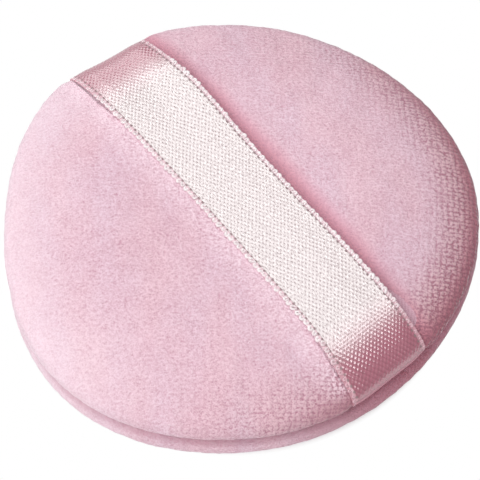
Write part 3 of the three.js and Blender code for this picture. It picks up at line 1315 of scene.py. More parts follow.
class RoundShell:
    """A closed round shell: a grid-filled disc carried on, ring by ring, along a half section."""

    def __init__(self, name: str, outer: np.ndarray, inner: np.ndarray, cells: int = 16) -> None:
        """Models the shell as a plain round form.

        Args:
            name: name of the piece.
            outer: stations of the outer side, from the first ring outwards.
            inner: stations of the inner side, back to the last ring.
            cells: cells along a side of the disc, a quarter of those round the shell.
        """
        self.name = name
        self.outer = outer
        self.stations = np.concatenate([outer, inner]) if len(inner) else outer
        self.cells = cells
        self.piece = self.disc()
        self.carry_on()
        self.number()
        self.lay_out()

    def disc(self) -> bpy.types.Object:
        """Adds a grid and rounds it to a disc at the first station.

        Returns:
            The disc.
        """
        select_only()
        bpy.ops.mesh.primitive_grid_add(
            x_subdivisions=self.cells, y_subdivisions=self.cells, size=2 * MM
        )
        piece = named(bpy.context.object, self.name)
        x, y, _ = points_of(piece).T
        radius, height = self.stations[0]
        round_x = radius * x * np.sqrt(1 - y * y / 2)
        round_y = radius * y * np.sqrt(1 - x * x / 2)
        move_points(piece, np.stack([round_x, round_y, np.full_like(x, height)], axis=1))
        return piece

    def carry_on(self) -> None:
        """Extrudes the disc's edge from station to station and fills the last ring."""
        with editing(self.piece):
            bpy.ops.mesh.select_mode(type="EDGE")
            bpy.ops.mesh.select_all(action="DESELECT")
            bpy.ops.mesh.select_non_manifold(use_wire=False, use_multi_face=False, use_verts=False)
            for here, there in zip(self.stations, self.stations[1:]):
                rise = (0.0, 0.0, (there[1] - here[1]) * MM)
                bpy.ops.mesh.extrude_edges_move(TRANSFORM_OT_translate={"value": rise})
                spread = there[0] / here[0]
                bpy.ops.transform.resize(
                    value=(spread, spread, 1.0), center_override=(0.0, 0.0, 0.0)
                )
            bpy.ops.mesh.fill_grid(span=self.cells)
            bpy.ops.mesh.select_all(action="SELECT")
            bpy.ops.mesh.normals_make_consistent(inside=False)

    def number(self) -> None:
        """Numbers the mesh by place along a slanted line.

        The operators number it by chance, and a cloth simulation follows the numbers.
        """
        mesh = self.piece.data
        order = np.argsort(points_of(self.piece) @ np.array(NUMBERING))
        rank = np.argsort(order)
        faces = []
        for face in mesh.polygons:
            corners = rank[list(face.vertices)].tolist()
            first = corners.index(min(corners))
            faces.append(corners[first:] + corners[:first])
        form = bmesh.new()
        places = [form.verts.new(mesh.vertices[index].co) for index in order.tolist()]
        for corners in sorted(faces):
            form.faces.new([places[corner] for corner in corners])
        form.to_mesh(mesh)
        form.free()
        mesh.update()

    def lay_out(self) -> None:
        """Lays the cloth out flat in a UV map, and gives inner faces the second material slot."""
        points = points_of(self.piece)
        reach = np.hypot(points[:, 0], points[:, 1])
        gap = np.hypot(
            reach[:, None] - self.stations[None, :, 0],
            points[:, 2][:, None] - self.stations[None, :, 1],
        )
        ring = gap.argmin(axis=1)
        inside = reach < self.stations[0, 0] - CLOSE
        ring[inside & (np.abs(points[:, 2] - self.stations[0, 1]) < CLOSE)] = 0
        lengths = np.linalg.norm(np.diff(self.stations, axis=0), axis=1)
        along = self.stations[0, 0] + np.concatenate([[0.0], np.cumsum(lengths)])
        spread = np.where(gap.min(axis=1) < CLOSE, along[ring], reach)
        angle = np.arctan2(points[:, 1], points[:, 0])
        flat = np.stack([spread * np.cos(angle), spread * np.sin(angle)], axis=1)
        lay_map(self.piece, GRAIN_MAP, 0.5 + flat / GRAIN_SPAN)
        last = len(self.outer) - 1
        if last + 1 < len(self.stations):
            for face in self.piece.data.polygons:
                hidden = any(ring[index] > last for index in face.vertices)
                face.material_index = int(hidden)

    def is_outer(self) -> np.ndarray:
        """Finds the vertices that belong to an outer face.

        Returns:
            True for each of them.
        """
        mesh = self.piece.data
        outer = np.zeros(len(mesh.vertices), bool)
        for face in mesh.polygons:
            if face.material_index == 0:
                outer[list(face.vertices)] = True
        return outer

    def refine_outer(self) -> None:
        """Divides the outer faces once more, where the cloth shows."""
        mesh = self.piece.data
        with editing(self.piece):
            bpy.ops.mesh.select_mode(type="FACE")
            bpy.ops.mesh.select_all(action="DESELECT")
        for face in mesh.polygons:
            face.select = face.material_index == 0
        with editing(self.piece):
            bpy.ops.mesh.subdivide(number_cuts=1, smoothness=0.0)


@dataclass
class Cover:
    """What both velour covers share: the cut, the room for the ribbon's ends and the pile's lie."""

    outline: PadOutline
    section: PadSection
    velour: bpy.types.Material
    knit: bpy.types.Material
    first_ring: float = 22.0
    wide_step: float = 2.2
    rim_step: float = 0.9
    turned_step: float = 2.0
    hidden_step: float = 3.0
    mouth: float = 1.2
    lump_size: float = 3.6
    lump_depth: float = 0.07
    tuft_size: float = 1.15
    tuft_depth: float = 0.035
    rim_from: float = 33.0
    rim_depth: float = 0.07
    pile_shift: tuple[float, float, float] = (31.7, 17.3, 5.1)
    shade_offset: float = 0.2

    def dress(self, shell: RoundShell, node: str, fill: float) -> bpy.types.Object:
        """Gives a cover its cloth and its place in the frame.

        Args:
            shell: the cover's shell, in its final form.
            node: the CAD node that it stands for.
            fill: how tightly it is filled; not used.

        Returns:
            The cover's piece.
        """
        piece = shell.piece
        piece.data.materials.append(self.velour)
        piece.data.materials.append(self.knit)
        smooth_shade(piece)
        piece.shadow_terminator_geometry_offset = self.shade_offset
        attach(piece, "pad")
        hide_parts(node)
        return piece

    def make_room(self, points: np.ndarray, share: np.ndarray) -> None:
        """Moves the turned-in edge off the seam where an end of the ribbon is caught in it.

        Args:
            points: rows of points, which are moved.
            share: how far each moves with the edge, from 0 to 1 upwards or -1 downwards.
        """
        cut = self.section
        spread = cut.ribbon_half_gap - cut.clearance / 2
        along_rim = np.abs(points[:, 0]) > cut.radius / 2
        held = self.outline.under_ribbon(points[:, 0], points[:, 1])
        points[:, 2] += spread * share * along_rim * held

    def ruffle(self, shell: RoundShell, seed: int) -> None:
        """Lifts and lowers the outer side in soft lumps and tufts, as brushed pile lies.

        Args:
            shell: the shell to ruffle.
            seed: moves the noise, so that the covers differ.
        """
        points = points_of(shell.piece)
        normals = normals_of(shell.piece)
        shift = Vector(self.pile_shift) * seed
        rise = np.zeros(len(points))
        reach = np.hypot(points[:, 0], points[:, 1])
        standing = smoothstep(self.rim_from, self.section.radius, reach)
        for index in np.flatnonzero(shell.is_outer()):
            place = Vector(points[index]) + shift
            lump = noise.noise(place / self.lump_size)
            tuft = noise.noise(place / self.tuft_size)
            depth = self.tuft_depth + self.rim_depth * standing[index]
            rise[index] = self.lump_depth * lump + depth * tuft
        move_points(shell.piece, points + normals * rise[:, None])


@dataclass
class FaceCover(Cover):
    """The upper cover: domed, with a round rim, pressed down along the ribbon."""

    press: float = 0.10
    press_beside: Pair = (-1.2, 0.2)
    gap_depth: float = 0.55
    gap_width: float = 1.7
    gap_beside: float = 0.3
    left_swell: float = 0.20
    left_swell_width: float = 4.0
    level_along: Pair = (22.0, 33.0)
    lie_rise: Pair = (0.5, 3.5)
    free_rise: Pair = (0.6, 2.6)
    slack: float = 0.35
    fill_pressure: float = 40.0
    cloth_mass: float = 0.001
    fill_frames: int = 20

    def build(self) -> bpy.types.Object:
        """Models the cover.

        Returns:
            Its piece.
        """
        cut = self.section
        under = cut.seam + cut.clearance / 2
        over = under + cut.wall
        start = self.first_ring / cut.radius
        crown = cut.crown(cut.radius, cut.face_rim, cut.height, start)
        inner_crown = cut.crown(cut.radius - cut.wall, cut.face_rim, cut.height - cut.wall, start)
        outer = joined(
            evenly(crown, self.wide_step),
            evenly(cut.rim_to_seam(cut.face_rim, under), self.rim_step),
            evenly(cut.turned_in(under), self.turned_step),
        )
        inner = np.concatenate(
            [
                evenly(cut.turned_in(over)[::-1], self.hidden_step),
                evenly(inner_crown[::-1], self.hidden_step),
            ]
        )
        shell = RoundShell("face_cover_velour", outer, inner)
        subdivide(shell.piece, 1)
        self.round_crown(shell)
        rise = points_of(shell.piece)[:, 2] - cut.face_rim
        self.fill_out(shell, smoothstep(*self.free_rise, rise) * shell.is_outer())
        subdivide(shell.piece, 1)
        shell.refine_outer()
        self.shape(shell)
        self.ruffle(shell, seed=1)
        return self.dress(shell, "face_cover", fill=0.85)

    def round_crown(self, shell: RoundShell) -> None:
        """Lifts the flat discs of the grid to the crown of the face and of its inside.

        Args:
            shell: the shell to round.
        """
        cut = self.section
        points = points_of(shell.piece)
        reach = np.hypot(points[:, 0], points[:, 1])
        middle = (reach < self.first_ring) & (points[:, 2] > cut.face_rim)
        outer = shell.is_outer()
        for chosen, radius, top in (
            (outer & middle, cut.radius, cut.height),
            (~outer & middle, cut.radius - cut.wall, cut.height - cut.wall),
        ):
            share = reach[chosen] / radius
            rise = np.sqrt(1 - share**cut.crown_power)
            points[chosen, 2] = cut.face_rim + (top - cut.face_rim) * rise
        move_points(shell.piece, points)

    def fill_out(self, shell: RoundShell, free: np.ndarray) -> None:
        """Args:
            shell: the shell to fill.
            free: how free each vertex is, from 0 where it is held to 1.
        """
        piece = shell.piece
        slack = points_of(piece) - normals_of(piece) * (self.slack * free)[:, None]
        move_points(piece, slack)
        held = piece.vertex_groups.new(name="held")
        for index, share in enumerate(free):
            held.add([index], 1.0 - float(share), "REPLACE")
        select_only(piece)
        bpy.ops.object.modifier_add(type="CLOTH")
        cloth = piece.modifiers[-1]
        cloth.settings.vertex_group_mass = held.name
        cloth.settings.mass = self.cloth_mass
        cloth.settings.use_pressure = True
        cloth.settings.uniform_pressure_force = self.fill_pressure
        cloth.settings.effector_weights.gravity = 0.0
        for number in range(1, self.fill_frames + 1):
            bpy.context.scene.frame_set(number)
        bpy.ops.object.modifier_apply(modifier=cloth.name)
        bpy.context.scene.frame_set(1)
        piece.vertex_groups.clear()
        swell = points_of(piece) - slack
        far = np.linalg.norm(swell, axis=1)
        log.info("%s: fills out by %.2f mm", piece.name, far[free > 0.5].mean())
        cap = np.minimum(1.0, self.slack / np.maximum(far, NO_LENGTH))
        move_points(piece, slack + swell * cap[:, None])

    def shape(self, shell: RoundShell) -> None:
        """Fits the cover to the outline, the ribbon's press and the ribbon's ends in the seam.

        Args:
            shell: the shell to shape.
        """
        cut = self.section
        plain = points_of(shell.piece)
        outer = shell.is_outer()
        points = self.outline.fitted(plain)
        self.make_room(points, smoothstep(cut.face_rim, cut.seam + self.mouth, plain[:, 2]))
        side = points[:, 1] - self.outline.ribbon_middle
        edge = self.outline.ribbon_width / 2
        beside = side - edge - self.gap_beside
        lie = -self.gap_depth * np.exp(-((beside / self.gap_width) ** 2))
        lie += self.left_swell * np.exp(-(((side + edge) / self.left_swell_width) ** 2))
        lie *= 1 - smoothstep(*self.level_along, -points[:, 0])
        lie -= self.press * (1 - smoothstep(*self.press_beside, np.abs(side) - edge))
        top = smoothstep(*self.lie_rise, plain[:, 2] - cut.face_rim)
        points[outer, 2] += (lie * top)[outer]
        move_points(shell.piece, points)


@dataclass
class BackCover(Cover):
    """The lower cover: flat where the puff lies on the table, with a low round rim.

    The ribbon draws the face's rim in, and this one only a little.
    """

    edge_step: float = 1.2
    inner_edge_step: float = 2.5
    near_draw: float = -3.0
    far_draw: float = 1.4
    recovery: Pair = (-6.0, 10.0)
    askew: tuple[Wave, ...] = (Wave(0, -0.1, 0.0), Wave(1, 0.30, -15.0), Wave(3, 0.12, -50.0))

    def build(self) -> bpy.types.Object:
        """Models the cover.

        Returns:
            Its piece.
        """
        cut = self.section
        over = cut.seam - cut.clearance / 2
        under = over - cut.wall
        flat_reach = cut.radius - cut.back_edge
        flat = np.array([[self.first_ring, 0.0], [flat_reach, 0.0]])
        inner_flat = np.array([[flat_reach, cut.wall], [self.first_ring, cut.wall]])
        inner_edge = cut.under_edge(cut.wall, cut.wall, cut.back_rim)
        outer = joined(
            evenly(flat, self.hidden_step),
            evenly(cut.under_edge(0.0, 0.0, cut.back_rim), self.edge_step),
            evenly(cut.rim_to_seam(cut.back_rim, over), self.rim_step),
            evenly(cut.turned_in(over), self.turned_step),
        )
        inner = np.concatenate(
            [
                evenly(cut.turned_in(under)[::-1], self.hidden_step),
                joined(
                    evenly(inner_edge[::-1], self.inner_edge_step),
                    evenly(inner_flat, self.hidden_step),
                ),
            ]
        )
        shell = RoundShell("back_cover_velour", outer, inner)
        subdivide(shell.piece, 2)
        shell.refine_outer()
        self.shape(shell)
        self.ruffle(shell, seed=2)
        points = points_of(shell.piece)
        points[:, 2] = np.maximum(points[:, 2], 0.0)
        move_points(shell.piece, points)
        return self.dress(shell, "back_cover", fill=0.85)

    def shape(self, shell: RoundShell) -> None:
        """Fits the cover to its own outline and to the ribbon's ends in the seam.

        Args:
            shell: the shell to shape.
        """
        cut = self.section
        plain = points_of(shell.piece)
        outline = replace(
            self.outline,
            waves=self.outline.waves + self.askew,
            near_draw=self.near_draw,
            far_draw=self.far_draw,
            recovery_start=self.recovery[0],
            recovery_end=self.recovery[1],
            slow_share=0.0,
        )
        points = outline.fitted(plain)
        self.make_room(points, -smoothstep(cut.back_rim, cut.seam - self.mouth, plain[:, 2]))
        move_points(shell.piece, points)


@dataclass
class FoamDisc:
    """The foam inside the covers, notched round its rim where the turned-in edges press into it."""

    outline: PadOutline
    section: PadSection
    foam: bpy.types.Material
    first_ring: float = 22.0
    wide_step: float = 3.0
    edge_step: float = 1.5
    notch_round: Pair = (1.0, 0.6)

    def build(self) -> bpy.types.Object:
        """Models the foam.

        Returns:
            Its piece.
        """
        cut = self.section
        inset = cut.wall + 2 * cut.clearance
        floor = cut.wall + cut.clearance
        waist = cut.allowance_edge - cut.clearance
        notch_low = cut.seam - cut.thread_stack - cut.clearance
        notch_high = cut.seam + cut.thread_stack + cut.clearance
        top = cut.height - cut.wall - cut.clearance
        crown = cut.crown(cut.radius - inset, notch_high, top, self.first_ring / cut.radius)
        across, up = self.notch_round
        notch = np.array(
            [
                [waist + across, notch_high],
                [waist, notch_high - up],
                [waist, notch_low + up],
                [waist + across, notch_low],
            ]
        )
        under = cut.under_edge(inset, floor, notch_low)[::-1]
        flat = np.array([[cut.radius - cut.back_edge, floor], [self.first_ring, floor]])
        underside = joined(evenly(under, self.edge_step), evenly(flat, self.wide_step))
        stations = np.concatenate([evenly(crown, self.wide_step), notch, underside])
        piece = RoundShell("foam_disc", stations, stations[:0]).piece
        subdivide(piece, 2)
        move_points(piece, self.outline.fitted(points_of(piece)))
        piece.data.materials.append(self.foam)
        smooth_shade(piece)
        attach(piece, "pad")
        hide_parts("foam_core")
        return piece


# Ribbon


@dataclass(frozen=True)
class LoopPlace:
    """Where a loop lies on the ribbon.

    It is given by its edge, its distance from the crown, the distance of its bend from the edge,
    its size as a share of the pattern's, its turn in radians, and its height over the others.
    """

    edge: Edge
    along: float
    inset: float
    size: float
    turn: float
    lift: float


@dataclass
class FingerRibbon:
    """One length of satin ribbon, in two halves that meet over the crown, with looped edges.

    Each half is sewn in at its end.
    """

    outline: PadOutline
    section: PadSection
    satin: bpy.types.Material
    loops: bpy.types.Material
    weave: SatinFinish
    face_points: int = 400
    bend_points: int = 80
    path_step: float = 0.1
    thickness: float = 0.3
    stand_off: float = 0.45
    right_lift: float = 0.22
    left_sink: float = -0.06
    near_level: Pair = (0.72, 0.93)
    far_level: Pair = (0.5, 0.93)
    end_sink: float = 0.28
    sink_across: float = 0.55
    sink_along: Pair = (28.0, 36.0)
    waist: float = 0.40
    waist_at: float = 2.0
    waist_length: float = 15.0
    flare: float = 0.40
    flare_at: float = -22.0
    flare_length: float = 8.0
    splay_along: Pair = (24.0, 40.0)
    pull_along: Pair = (24.0, 36.0)

    binding_depth: float = 0.027
    float_height: float = 0.055
    plain_bend: float = 0.08
    near_bend: float = 0.92
    near_bend_along: Pair = (27.8, 35.5)
    near_flat_along: Pair = (38.0, 40.0)
    far_bend: float = 0.26
    far_bend_along: Pair = (29.0, 35.0)
    weave_margin: float = 0.2
    edge_drop: float = 0.14
    edge_drop_width: float = 0.35
    cells_a_pick: int = 6
    cells_a_repeat: int = 5
    sharp_from: float = 50.0
    tail_length: float = 6.0
    tail_cell: Pair = (0.3, 0.3)

    loop_pitch: float = 1.08
    loop_length: float = 1.10
    loop_width: float = 1.50
    loop_yarn: float = 0.52
    loop_flatness: float = 0.65
    loop_rings: int = 12
    loop_sides: int = 6
    loop_level: float = -0.06
    loop_sink: float = 0.24
    loop_leg: float = 0.8
    loop_seed: int = 11
    loop_stray: Pair = (-0.15, 0.15)
    loop_insets: Pair = (-0.08, 0.16)
    loop_sizes: Pair = (0.76, 1.08)
    loop_turns: Pair = (-42.0, 42.0)
    loop_lifts: Pair = (-0.14, 0.03)
    end_room: float = 0.4
    end_shrink: float = 0.3
    end_shrink_along: Pair = (29.0, 37.0)

    @property
    def half_width(self) -> float:
        """From the ribbon's middle line to the outside of its loops."""
        return self.outline.ribbon_width / 2

    def path(self, end: End) -> tuple[np.ndarray, np.ndarray]:
        """The line that a half follows over the pad, from the crown to the bottom of the groove.

        Args:
            end: the half's sewn end.

        Returns:
            Rows of (x, z) on the pad, and the outward normals there.
        """
        cut = self.section
        reach = self.outline.reach(end)
        turn = np.linspace(math.pi / 2, 0.0, self.face_points)
        share = np.cos(turn) ** (2 / cut.crown_power)
        rise = (cut.height - cut.face_rim) * np.sin(turn)
        face = np.stack([reach * share, cut.face_rim + rise], axis=1)
        bend = np.linspace(0.0, math.pi / 2, self.bend_points)
        depth = cut.groove * reach / cut.radius
        seam_top = cut.seam + cut.ribbon_half_gap
        under = np.stack(
            [
                reach - depth * (1 - np.cos(bend)),
                cut.face_rim - (cut.face_rim - seam_top) * np.sin(bend),
            ],
            axis=1,
        )
        line = evenly(joined(face, under), self.path_step)
        heading = np.gradient(line, axis=0)
        heading /= np.linalg.norm(heading, axis=1)[:, None]
        normals = np.stack([-heading[:, 1], heading[:, 0]], axis=1)
        return line, normals

    def upper_side(self, end: End) -> tuple[np.ndarray, np.ndarray, np.ndarray]:
        """A half's upper side along its middle.

        Args:
            end: the half's sewn end.

        Returns:
            Distances from the crown, rows of (x, z), and the outward normals there.
        """
        line, normals = self.path(end)
        upper = line + normals * self.stand_off
        steps = np.linalg.norm(np.diff(upper, axis=0), axis=1)
        return np.concatenate([[0.0], np.cumsum(steps)]), upper, normals

    def length(self, end: End) -> float:
        """Length of a half along its upper side, from the crown to the bottom of the groove."""
        return float(self.upper_side(end)[0][-1])

    def surface(
        self, end: End, along: np.ndarray, across: np.ndarray, rise: np.ndarray
    ) -> np.ndarray:
        """Points on a half of the ribbon.

        Args:
            end: the half's sewn end.
            along: distance from the crown, along the ribbon's upper side.
            across: distance from the ribbon's middle line, along Y.
            rise: height over the ribbon's upper side.

        Returns:
            Rows of points.
        """
        length, upper, normals = self.upper_side(end)
        x, z = (np.interp(along, length, column) for column in upper.T)
        normal_x, normal_z = (np.interp(along, length, column) for column in normals.T)
        half = self.half_width
        right, left = smoothstep(0.0, half, across), smoothstep(0.0, half, -across)
        place = end.value * x
        drawn = self.waist * np.exp(-(((place - self.waist_at) / self.waist_length) ** 2))
        drawn -= self.flare * np.exp(-(((place - self.flare_at) / self.flare_length) ** 2))
        splayed = self.outline.splay * smoothstep(*self.splay_along, place)
        y = self.outline.ribbon_middle + across - drawn * right - splayed * left
        pulled = self.outline.reach(end) - self.outline.drawn_reach(end, y)
        x = x - pulled * smoothstep(*self.pull_along, x)
        level = self.near_level if end is End.NEAR else self.far_level
        flat = 1.0 - smoothstep(*level, along / length[-1])
        out = rise + flat * (self.right_lift * right - self.left_sink * left)
        edges = smoothstep(self.sink_across * half, half, np.abs(across))
        out = out - self.end_sink * edges * smoothstep(*self.sink_along, x)
        return np.stack([end.value * (x + normal_x * out), y, z + normal_z * out], axis=1)

    def relief(self, along: np.ndarray, across: np.ndarray) -> np.ndarray:
        """Height of the weave over the ribbon's plain surface.

        Args:
            along: distance from the crown, less than 0 on the far half.
            across: distance from the middle line.

        Returns:
            The height at each place.
        """
        weave = self.weave
        beside = np.abs(across)
        line = self.half_width - weave.selvedge_width
        first = across / weave.repeat - along * weave.step / weave.pick
        third = first + along / weave.pick
        waves = np.cos(math.tau * first) + np.cos(math.tau * third) - 2.0
        narrow = np.cos(math.tau * (first + third)) + np.cos(math.tau * (2 * first + third)) - 2.0
        bindings = np.exp(weave.tightness * waves + weave.narrowness * narrow)
        near = smoothstep(*self.near_bend_along, along) - smoothstep(*self.near_flat_along, along)
        far = smoothstep(*self.far_bend_along, -along)
        bent = self.plain_bend + self.near_bend * near + self.far_bend * far
        dips = self.float_height * bent * (np.cos(math.tau * first) + np.cos(math.tau * third)) / 2
        inside = 1.0 - smoothstep(line - self.weave_margin, line, beside)
        lowered = self.edge_drop * smoothstep(line, line + self.edge_drop_width, beside)
        return -(self.binding_depth * bindings + dips) * inside - lowered

    def strip(
        self, name: str, length: float, cell: tuple[float, float]
    ) -> tuple[bpy.types.Object, np.ndarray, np.ndarray]:
        """A flat grid as wide as the woven part of the ribbon.

        Args:
            name: name of the piece.
            length: length of the strip.
            cell: size of its cells, along and across.

        Returns:
            The piece, and each vertex's distance along and across the strip.
        """
        width = 2 * (self.half_width - self.loop_yarn / 2)
        select_only()
        bpy.ops.mesh.primitive_grid_add(
            x_subdivisions=round(length / cell[0]), y_subdivisions=round(width / cell[1]), size=MM
        )
        piece = named(bpy.context.object, name)
        square = points_of(piece)
        return piece, (square[:, 0] + 0.5) * length, square[:, 1] * width

    def close(
        self, piece: bpy.types.Object, end: End, along: np.ndarray, across: np.ndarray
    ) -> None:
        """Gives a strip its map, its right side and its thickness.

        Args:
            piece: the strip, in place.
            end: the half that it belongs to.
            along: each vertex's distance along the ribbon.
            across: each vertex's distance from the middle line.
        """
        places = np.stack([end.value * along / WEAVE_SPAN, across / WEAVE_SPAN], axis=1)
        lay_map(piece, WEAVE_MAP, places + 0.5)
        if end is End.FAR:
            with editing(piece):
                bpy.ops.mesh.select_all(action="SELECT")
                bpy.ops.mesh.flip_normals()
        apply_modifier(piece, "SOLIDIFY", thickness=self.thickness * MM, offset=-1.0)
        piece.data.materials.append(self.satin)
        select_only(piece)
        bpy.ops.object.shade_smooth_by_angle(angle=math.radians(self.sharp_from))

    def half(self, end: End) -> bpy.types.Object:
        """Models the half of the span towards one end.

        Args:
            end: the half's sewn end.

        Returns:
            The half's piece.
        """
        length = self.length(end)
        cell = (self.weave.pick / self.cells_a_pick, self.weave.repeat / self.cells_a_repeat)
        piece, along, across = self.strip(f"finger_ribbon_{end.name.lower()}", length, cell)
        move_points(piece, self.surface(end, along, across, self.relief(end.value * along, across)))
        self.close(piece, end, along, across)
        self.arch(piece, end)
        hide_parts("finger_ribbon")
        return piece

    def arch(self, piece: bpy.types.Object, end: End) -> None:
        """Bakes the transform of a piece of a half into its mesh.

        Args:
            piece: the half, or its loops.
            end: the half's sewn end.
        """
        rim = end.value * self.outline.reach(end) * MM
        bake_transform(piece)

    def tail(self, end: End) -> bpy.types.Object:
        """Models the end of the ribbon that is caught between the covers' edges.

        Args:
            end: the ribbon's end.

        Returns:
            The tail's piece.
        """
        length = self.length(end)
        node = f"ribbon_tail_{end.name.lower()}"
        piece, along, across = self.strip(f"{node}_satin", self.tail_length, self.tail_cell)
        start = self.surface(end, np.full_like(along, length), across, np.zeros_like(along))
        start[:, 0] -= end.value * along
        move_points(piece, start)
        self.close(piece, end, length + along, across)
        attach(piece, "pad")
        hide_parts(node)
        return piece

    def loop(self) -> bpy.types.Object:
        """Models one turn of the weft at the ribbon's edge: a flat ring of yarn, drawn out inwards.

        Returns:
            The loop, lying flat with its bend towards +Y.
        """
        yarn = self.loop_yarn / 2
        select_only()
        bpy.ops.mesh.primitive_torus_add(
            major_segments=self.loop_rings,
            minor_segments=self.loop_sides,
            major_radius=(self.loop_length / 2 - yarn) * MM,
            minor_radius=yarn * MM,
        )
        piece = named(bpy.context.object, "loop")
        with editing(piece):
            bpy.ops.mesh.select_all(action="DESELECT")
        for vertex in piece.data.vertices:
            vertex.select = vertex.co.y < -OFF_ZERO * MM
        drawn_out = (0.0, (self.loop_length - self.loop_width) * MM, 0.0)
        flattened = (1.0, 1.0, self.loop_flatness)
        with editing(piece):
            bpy.ops.transform.translate(value=drawn_out)
            bpy.ops.mesh.select_all(action="SELECT")
            bpy.ops.transform.resize(value=flattened, center_override=(0.0, 0.0, 0.0))
        return piece

    def edging(self, end: End) -> bpy.types.Object:
        """Sets the loops along both edges of a half.

        Args:
            end: the half's sewn end.

        Returns:
            The half's loops, as one piece.
        """
        chance = random.Random(self.loop_seed + end.value)
        pattern = self.loop()
        count = int((self.length(end) - self.end_room) / self.loop_pitch)
        copies = []
        for edge in Edge:
            for index in range(count):
                along = (index + 0.5) * self.loop_pitch + chance.uniform(*self.loop_stray)
                inset = self.loop_length / 2 + chance.uniform(*self.loop_insets)
                kept = 1.0 - self.end_shrink * float(smoothstep(*self.end_shrink_along, along))
                size = chance.uniform(*self.loop_sizes) * kept
                turn = math.radians(chance.uniform(*self.loop_turns))
                lift = chance.uniform(*self.loop_lifts)
                place = LoopPlace(edge, along, inset, size, turn, lift)
                copies.append(self.placed(pattern, end, place))
        bpy.data.objects.remove(pattern)
        select_only(*copies)
        bpy.ops.object.join()
        piece = named(bpy.context.object, f"ribbon_loops_{end.name.lower()}")
        with editing(piece):
            bpy.ops.mesh.select_all(action="SELECT")
            bpy.ops.mesh.normals_make_consistent(inside=False)
        piece.data.materials.append(self.loops)
        smooth_shade(piece)
        self.arch(piece, end)
        return piece

    def placed(self, pattern: bpy.types.Object, end: End, place: LoopPlace) -> bpy.types.Object:
        """Copies a loop to its place on an edge, where its legs go under the satin.

        Args:
            pattern: the loop to copy.
            end: the half that it lies on.
            place: where it lies.

        Returns:
            The copy, with its place in its mesh.
        """
        copy = pattern.copy()
        copy.data = pattern.data.copy()
        bpy.context.scene.collection.objects.link(copy)
        x, y, z = (points_of(copy) * place.size).T
        turned_x = x * math.cos(place.turn) - y * math.sin(place.turn)
        turned_y = x * math.sin(place.turn) + y * math.cos(place.turn)
        level = self.loop_level + place.lift + z
        level = level - self.loop_sink * smoothstep(0.0, self.loop_leg, -turned_y)
        across = place.edge.value * (self.half_width - place.inset + turned_y)
        move_points(copy, self.surface(end, place.along + turned_x, across, level))
        return copy

    def build(self) -> list[bpy.types.Object]:
        """Models the whole ribbon.

        Returns:
            Its pieces.
        """
        pieces = []
        for end in End:
            half = self.half(end)
            loops = self.edging(end)
            flat = (self.outline.ribbon_width * MM, self.length(end) * MM)
            pieces += [half, loops, self.tail(end)]
        return pieces


# Thread


@dataclass
class SeamThreads:
    """The three sewing threads, rounded from the frame's square ones."""

    thread: bpy.types.Material
    nodes: tuple[str, ...] = ("seam_needle_thread", "seam_bobbin_thread", "closing_thread")
    weld: float = 0.002

    def build(self) -> list[bpy.types.Object]:
        """Models the threads and returns their pieces."""
        return [self.rounded(node) for node in self.nodes]

    def rounded(self, node: str) -> bpy.types.Object:
        """Rounds one thread.

        Args:
            node: the CAD node that it stands for.

        Returns:
            The thread's piece.
        """
        source = frame["nodes"][node]
        piece = bpy.data.objects.new(f"{node}_round", source.data.copy())
        bpy.context.scene.collection.objects.link(piece)
        piece.data.name = piece.name
        piece.data.materials.clear()
        with editing(piece):
            bpy.ops.mesh.select_all(action="SELECT")
            bpy.ops.mesh.remove_doubles(threshold=self.weld * MM)
            bpy.ops.mesh.tris_convert_to_quads()
        subdivide(piece, 2)
        piece.data.materials.append(self.thread)
        smooth_shade(piece)
        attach(piece, "pad")
        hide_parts(node)
        return piece


# Studio


@dataclass(frozen=True)
class Lamp:
    """A soft box that faces the puff.

    Its first side lies along an axis, as far as its facing allows. Its light is what it throws on
    a surface that faces it. Its size and distance are in metres.
    """

    name: str
    direction: tuple[float, float, float]
    size: Pair
    light: float
    along: tuple[float, float, float] = (1.0, 0.0, 0.0)
    distance: float = 0.8

    def build(self) -> None:
        """Hangs the box."""
        data = bpy.data.lights.new(self.name, "AREA")
        data.shape = "RECTANGLE"
        data.size, data.size_y = self.size
        data.energy = self.light * math.pi * self.distance**2
        lamp = bpy.data.objects.new(self.name, data)
        bpy.context.scene.collection.objects.link(lamp)
        towards = Vector(self.direction).normalized()
        side = (Vector(self.along) - towards * towards.dot(Vector(self.along))).normalized()
        lamp.location = towards * self.distance
        lamp.rotation_euler = Matrix((side, towards.cross(side), towards)).transposed().to_euler()


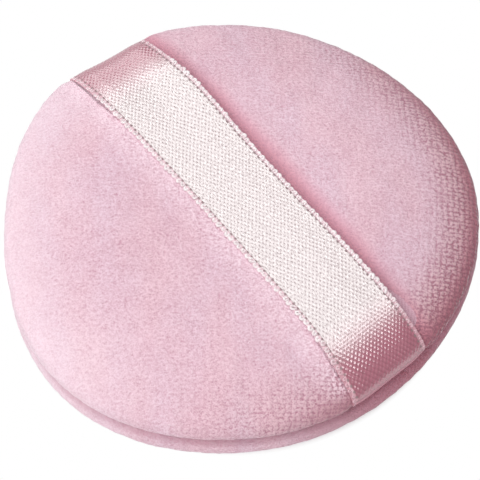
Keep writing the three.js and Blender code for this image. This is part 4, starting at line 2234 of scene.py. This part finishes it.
@dataclass
class Studio:
    """The camera at the photograph's angle, a white table, five soft boxes and a dim room.

    The key box lights the puff from the left, and the satin mirrors the high box and the far box.
    The front box lights the near rim, and the left box the left one. The table's size is in metres.
    """

    azimuth: float = 51.6
    elevation: float = 60.55
    distance: float = 450.0
    lens: float = 202.2
    sensor: float = 36.0
    clip_start: float = 0.01
    aim: tuple[float, float, float] = (0.0, 0.0, 6.0)
    aim_right: float = 1.135
    aim_up: float = -2.19
    floor_size: float = 6.0
    floor_level: float = -0.15
    room: float = 0.22
    boxes: tuple[Lamp, ...] = (
        Lamp("key_box", (-0.18, -0.71, 0.68), (0.7, 0.7), 1.34),
        Lamp("high_box", (-0.298, 0.305, 0.9045), (1.02, 0.20), 1.71),
        Lamp("far_box", (-0.88, 0.283, 0.375), (0.5, 0.22), 0.35, (0.0, 0.0, 1.0)),
        Lamp("front_box", (0.642, -0.509, 0.574), (0.5, 0.5), 1.22),
        Lamp("left_box", (-0.59, -0.745, 0.31), (0.5, 0.5), 0.34),
    )

    def build(self) -> None:
        """Sets up camera, lamps, room and table."""
        self.camera()
        for box in self.boxes:
            box.build()
        self.world()
        self.table()
        bpy.context.scene.view_settings.view_transform = "Standard"

    def camera(self) -> None:
        """Aims the camera."""
        turn, tip = math.radians(self.azimuth), math.radians(self.elevation)
        level = math.cos(tip)
        back = Vector((math.sin(turn) * level, -math.cos(turn) * level, math.sin(tip)))
        right = Vector((math.cos(turn), math.sin(turn), 0.0))
        up = back.cross(right)
        target = Vector(self.aim) + right * self.aim_right + up * self.aim_up
        data = bpy.data.cameras.new("camera")
        data.lens = self.lens
        data.sensor_width = self.sensor
        data.clip_start = self.clip_start
        camera = bpy.data.objects.new("camera", data)
        bpy.context.scene.collection.objects.link(camera)
        camera.location = (target + back * self.distance) * MM
        camera.rotation_euler = back.to_track_quat("Z", "Y").to_euler()
        bpy.context.scene.camera = camera

    def world(self) -> None:
        """Fills the room with dim even light."""
        world = bpy.data.worlds.new("room")
        bpy.context.scene.world = world
        world.use_nodes = True
        background = world.node_tree.nodes["Background"]
        background.inputs["Color"].default_value = (1.0, 1.0, 1.0, 1.0)
        background.inputs["Strength"].default_value = self.room

    def table(self) -> None:
        """Lays the table under the puff."""
        select_only()
        place = (0.0, 0.0, self.floor_level * MM)
        bpy.ops.mesh.primitive_plane_add(size=self.floor_size, location=place)
        floor = named(bpy.context.object, "table")
        floor.data.materials.append(FloorFinish().material("table_white"))


def report(pieces: Sequence[bpy.types.Object]) -> None:
    """Logs the triangles of each piece.

    Args:
        pieces: the pieces.
    """
    for piece in pieces:
        triangles = sum(len(face.vertices) - 2 for face in piece.data.polygons)
        log.info("%s: %d triangles", piece.name, triangles)


def main() -> None:
    """Builds the puff, piece by piece, and the studio round it."""
    logging.basicConfig(level=logging.INFO, format="%(name)s: %(message)s")
    Studio().build()
    outline, section = PadOutline(), PadSection()
    velour = VelourFinish().material("velour_pile")
    knit = KnitFinish().material("velour_ground")
    # On the back cover the open pile, with its painted shade, starts only at the rim and builds up
    # slowly.
    smoother = VelourFinish(open_shade_reach=(40.0, 110.0)).material("velour_pile_back")
    report([FaceCover(outline, section, velour, knit).build()])
    report([BackCover(outline, section, smoother, knit).build()])
    report([FoamDisc(outline, section, FoamFinish().material("foam_open_cell")).build()])
    weave = SatinFinish()
    satin = weave.material("satin_floats")
    loops = LoopFinish().material("weft_loops")
    report(FingerRibbon(outline, section, satin, loops, weave).build())
    report(SeamThreads(ThreadFinish().material("sewing_thread")).build())


if __name__ == "__main__":
    main()
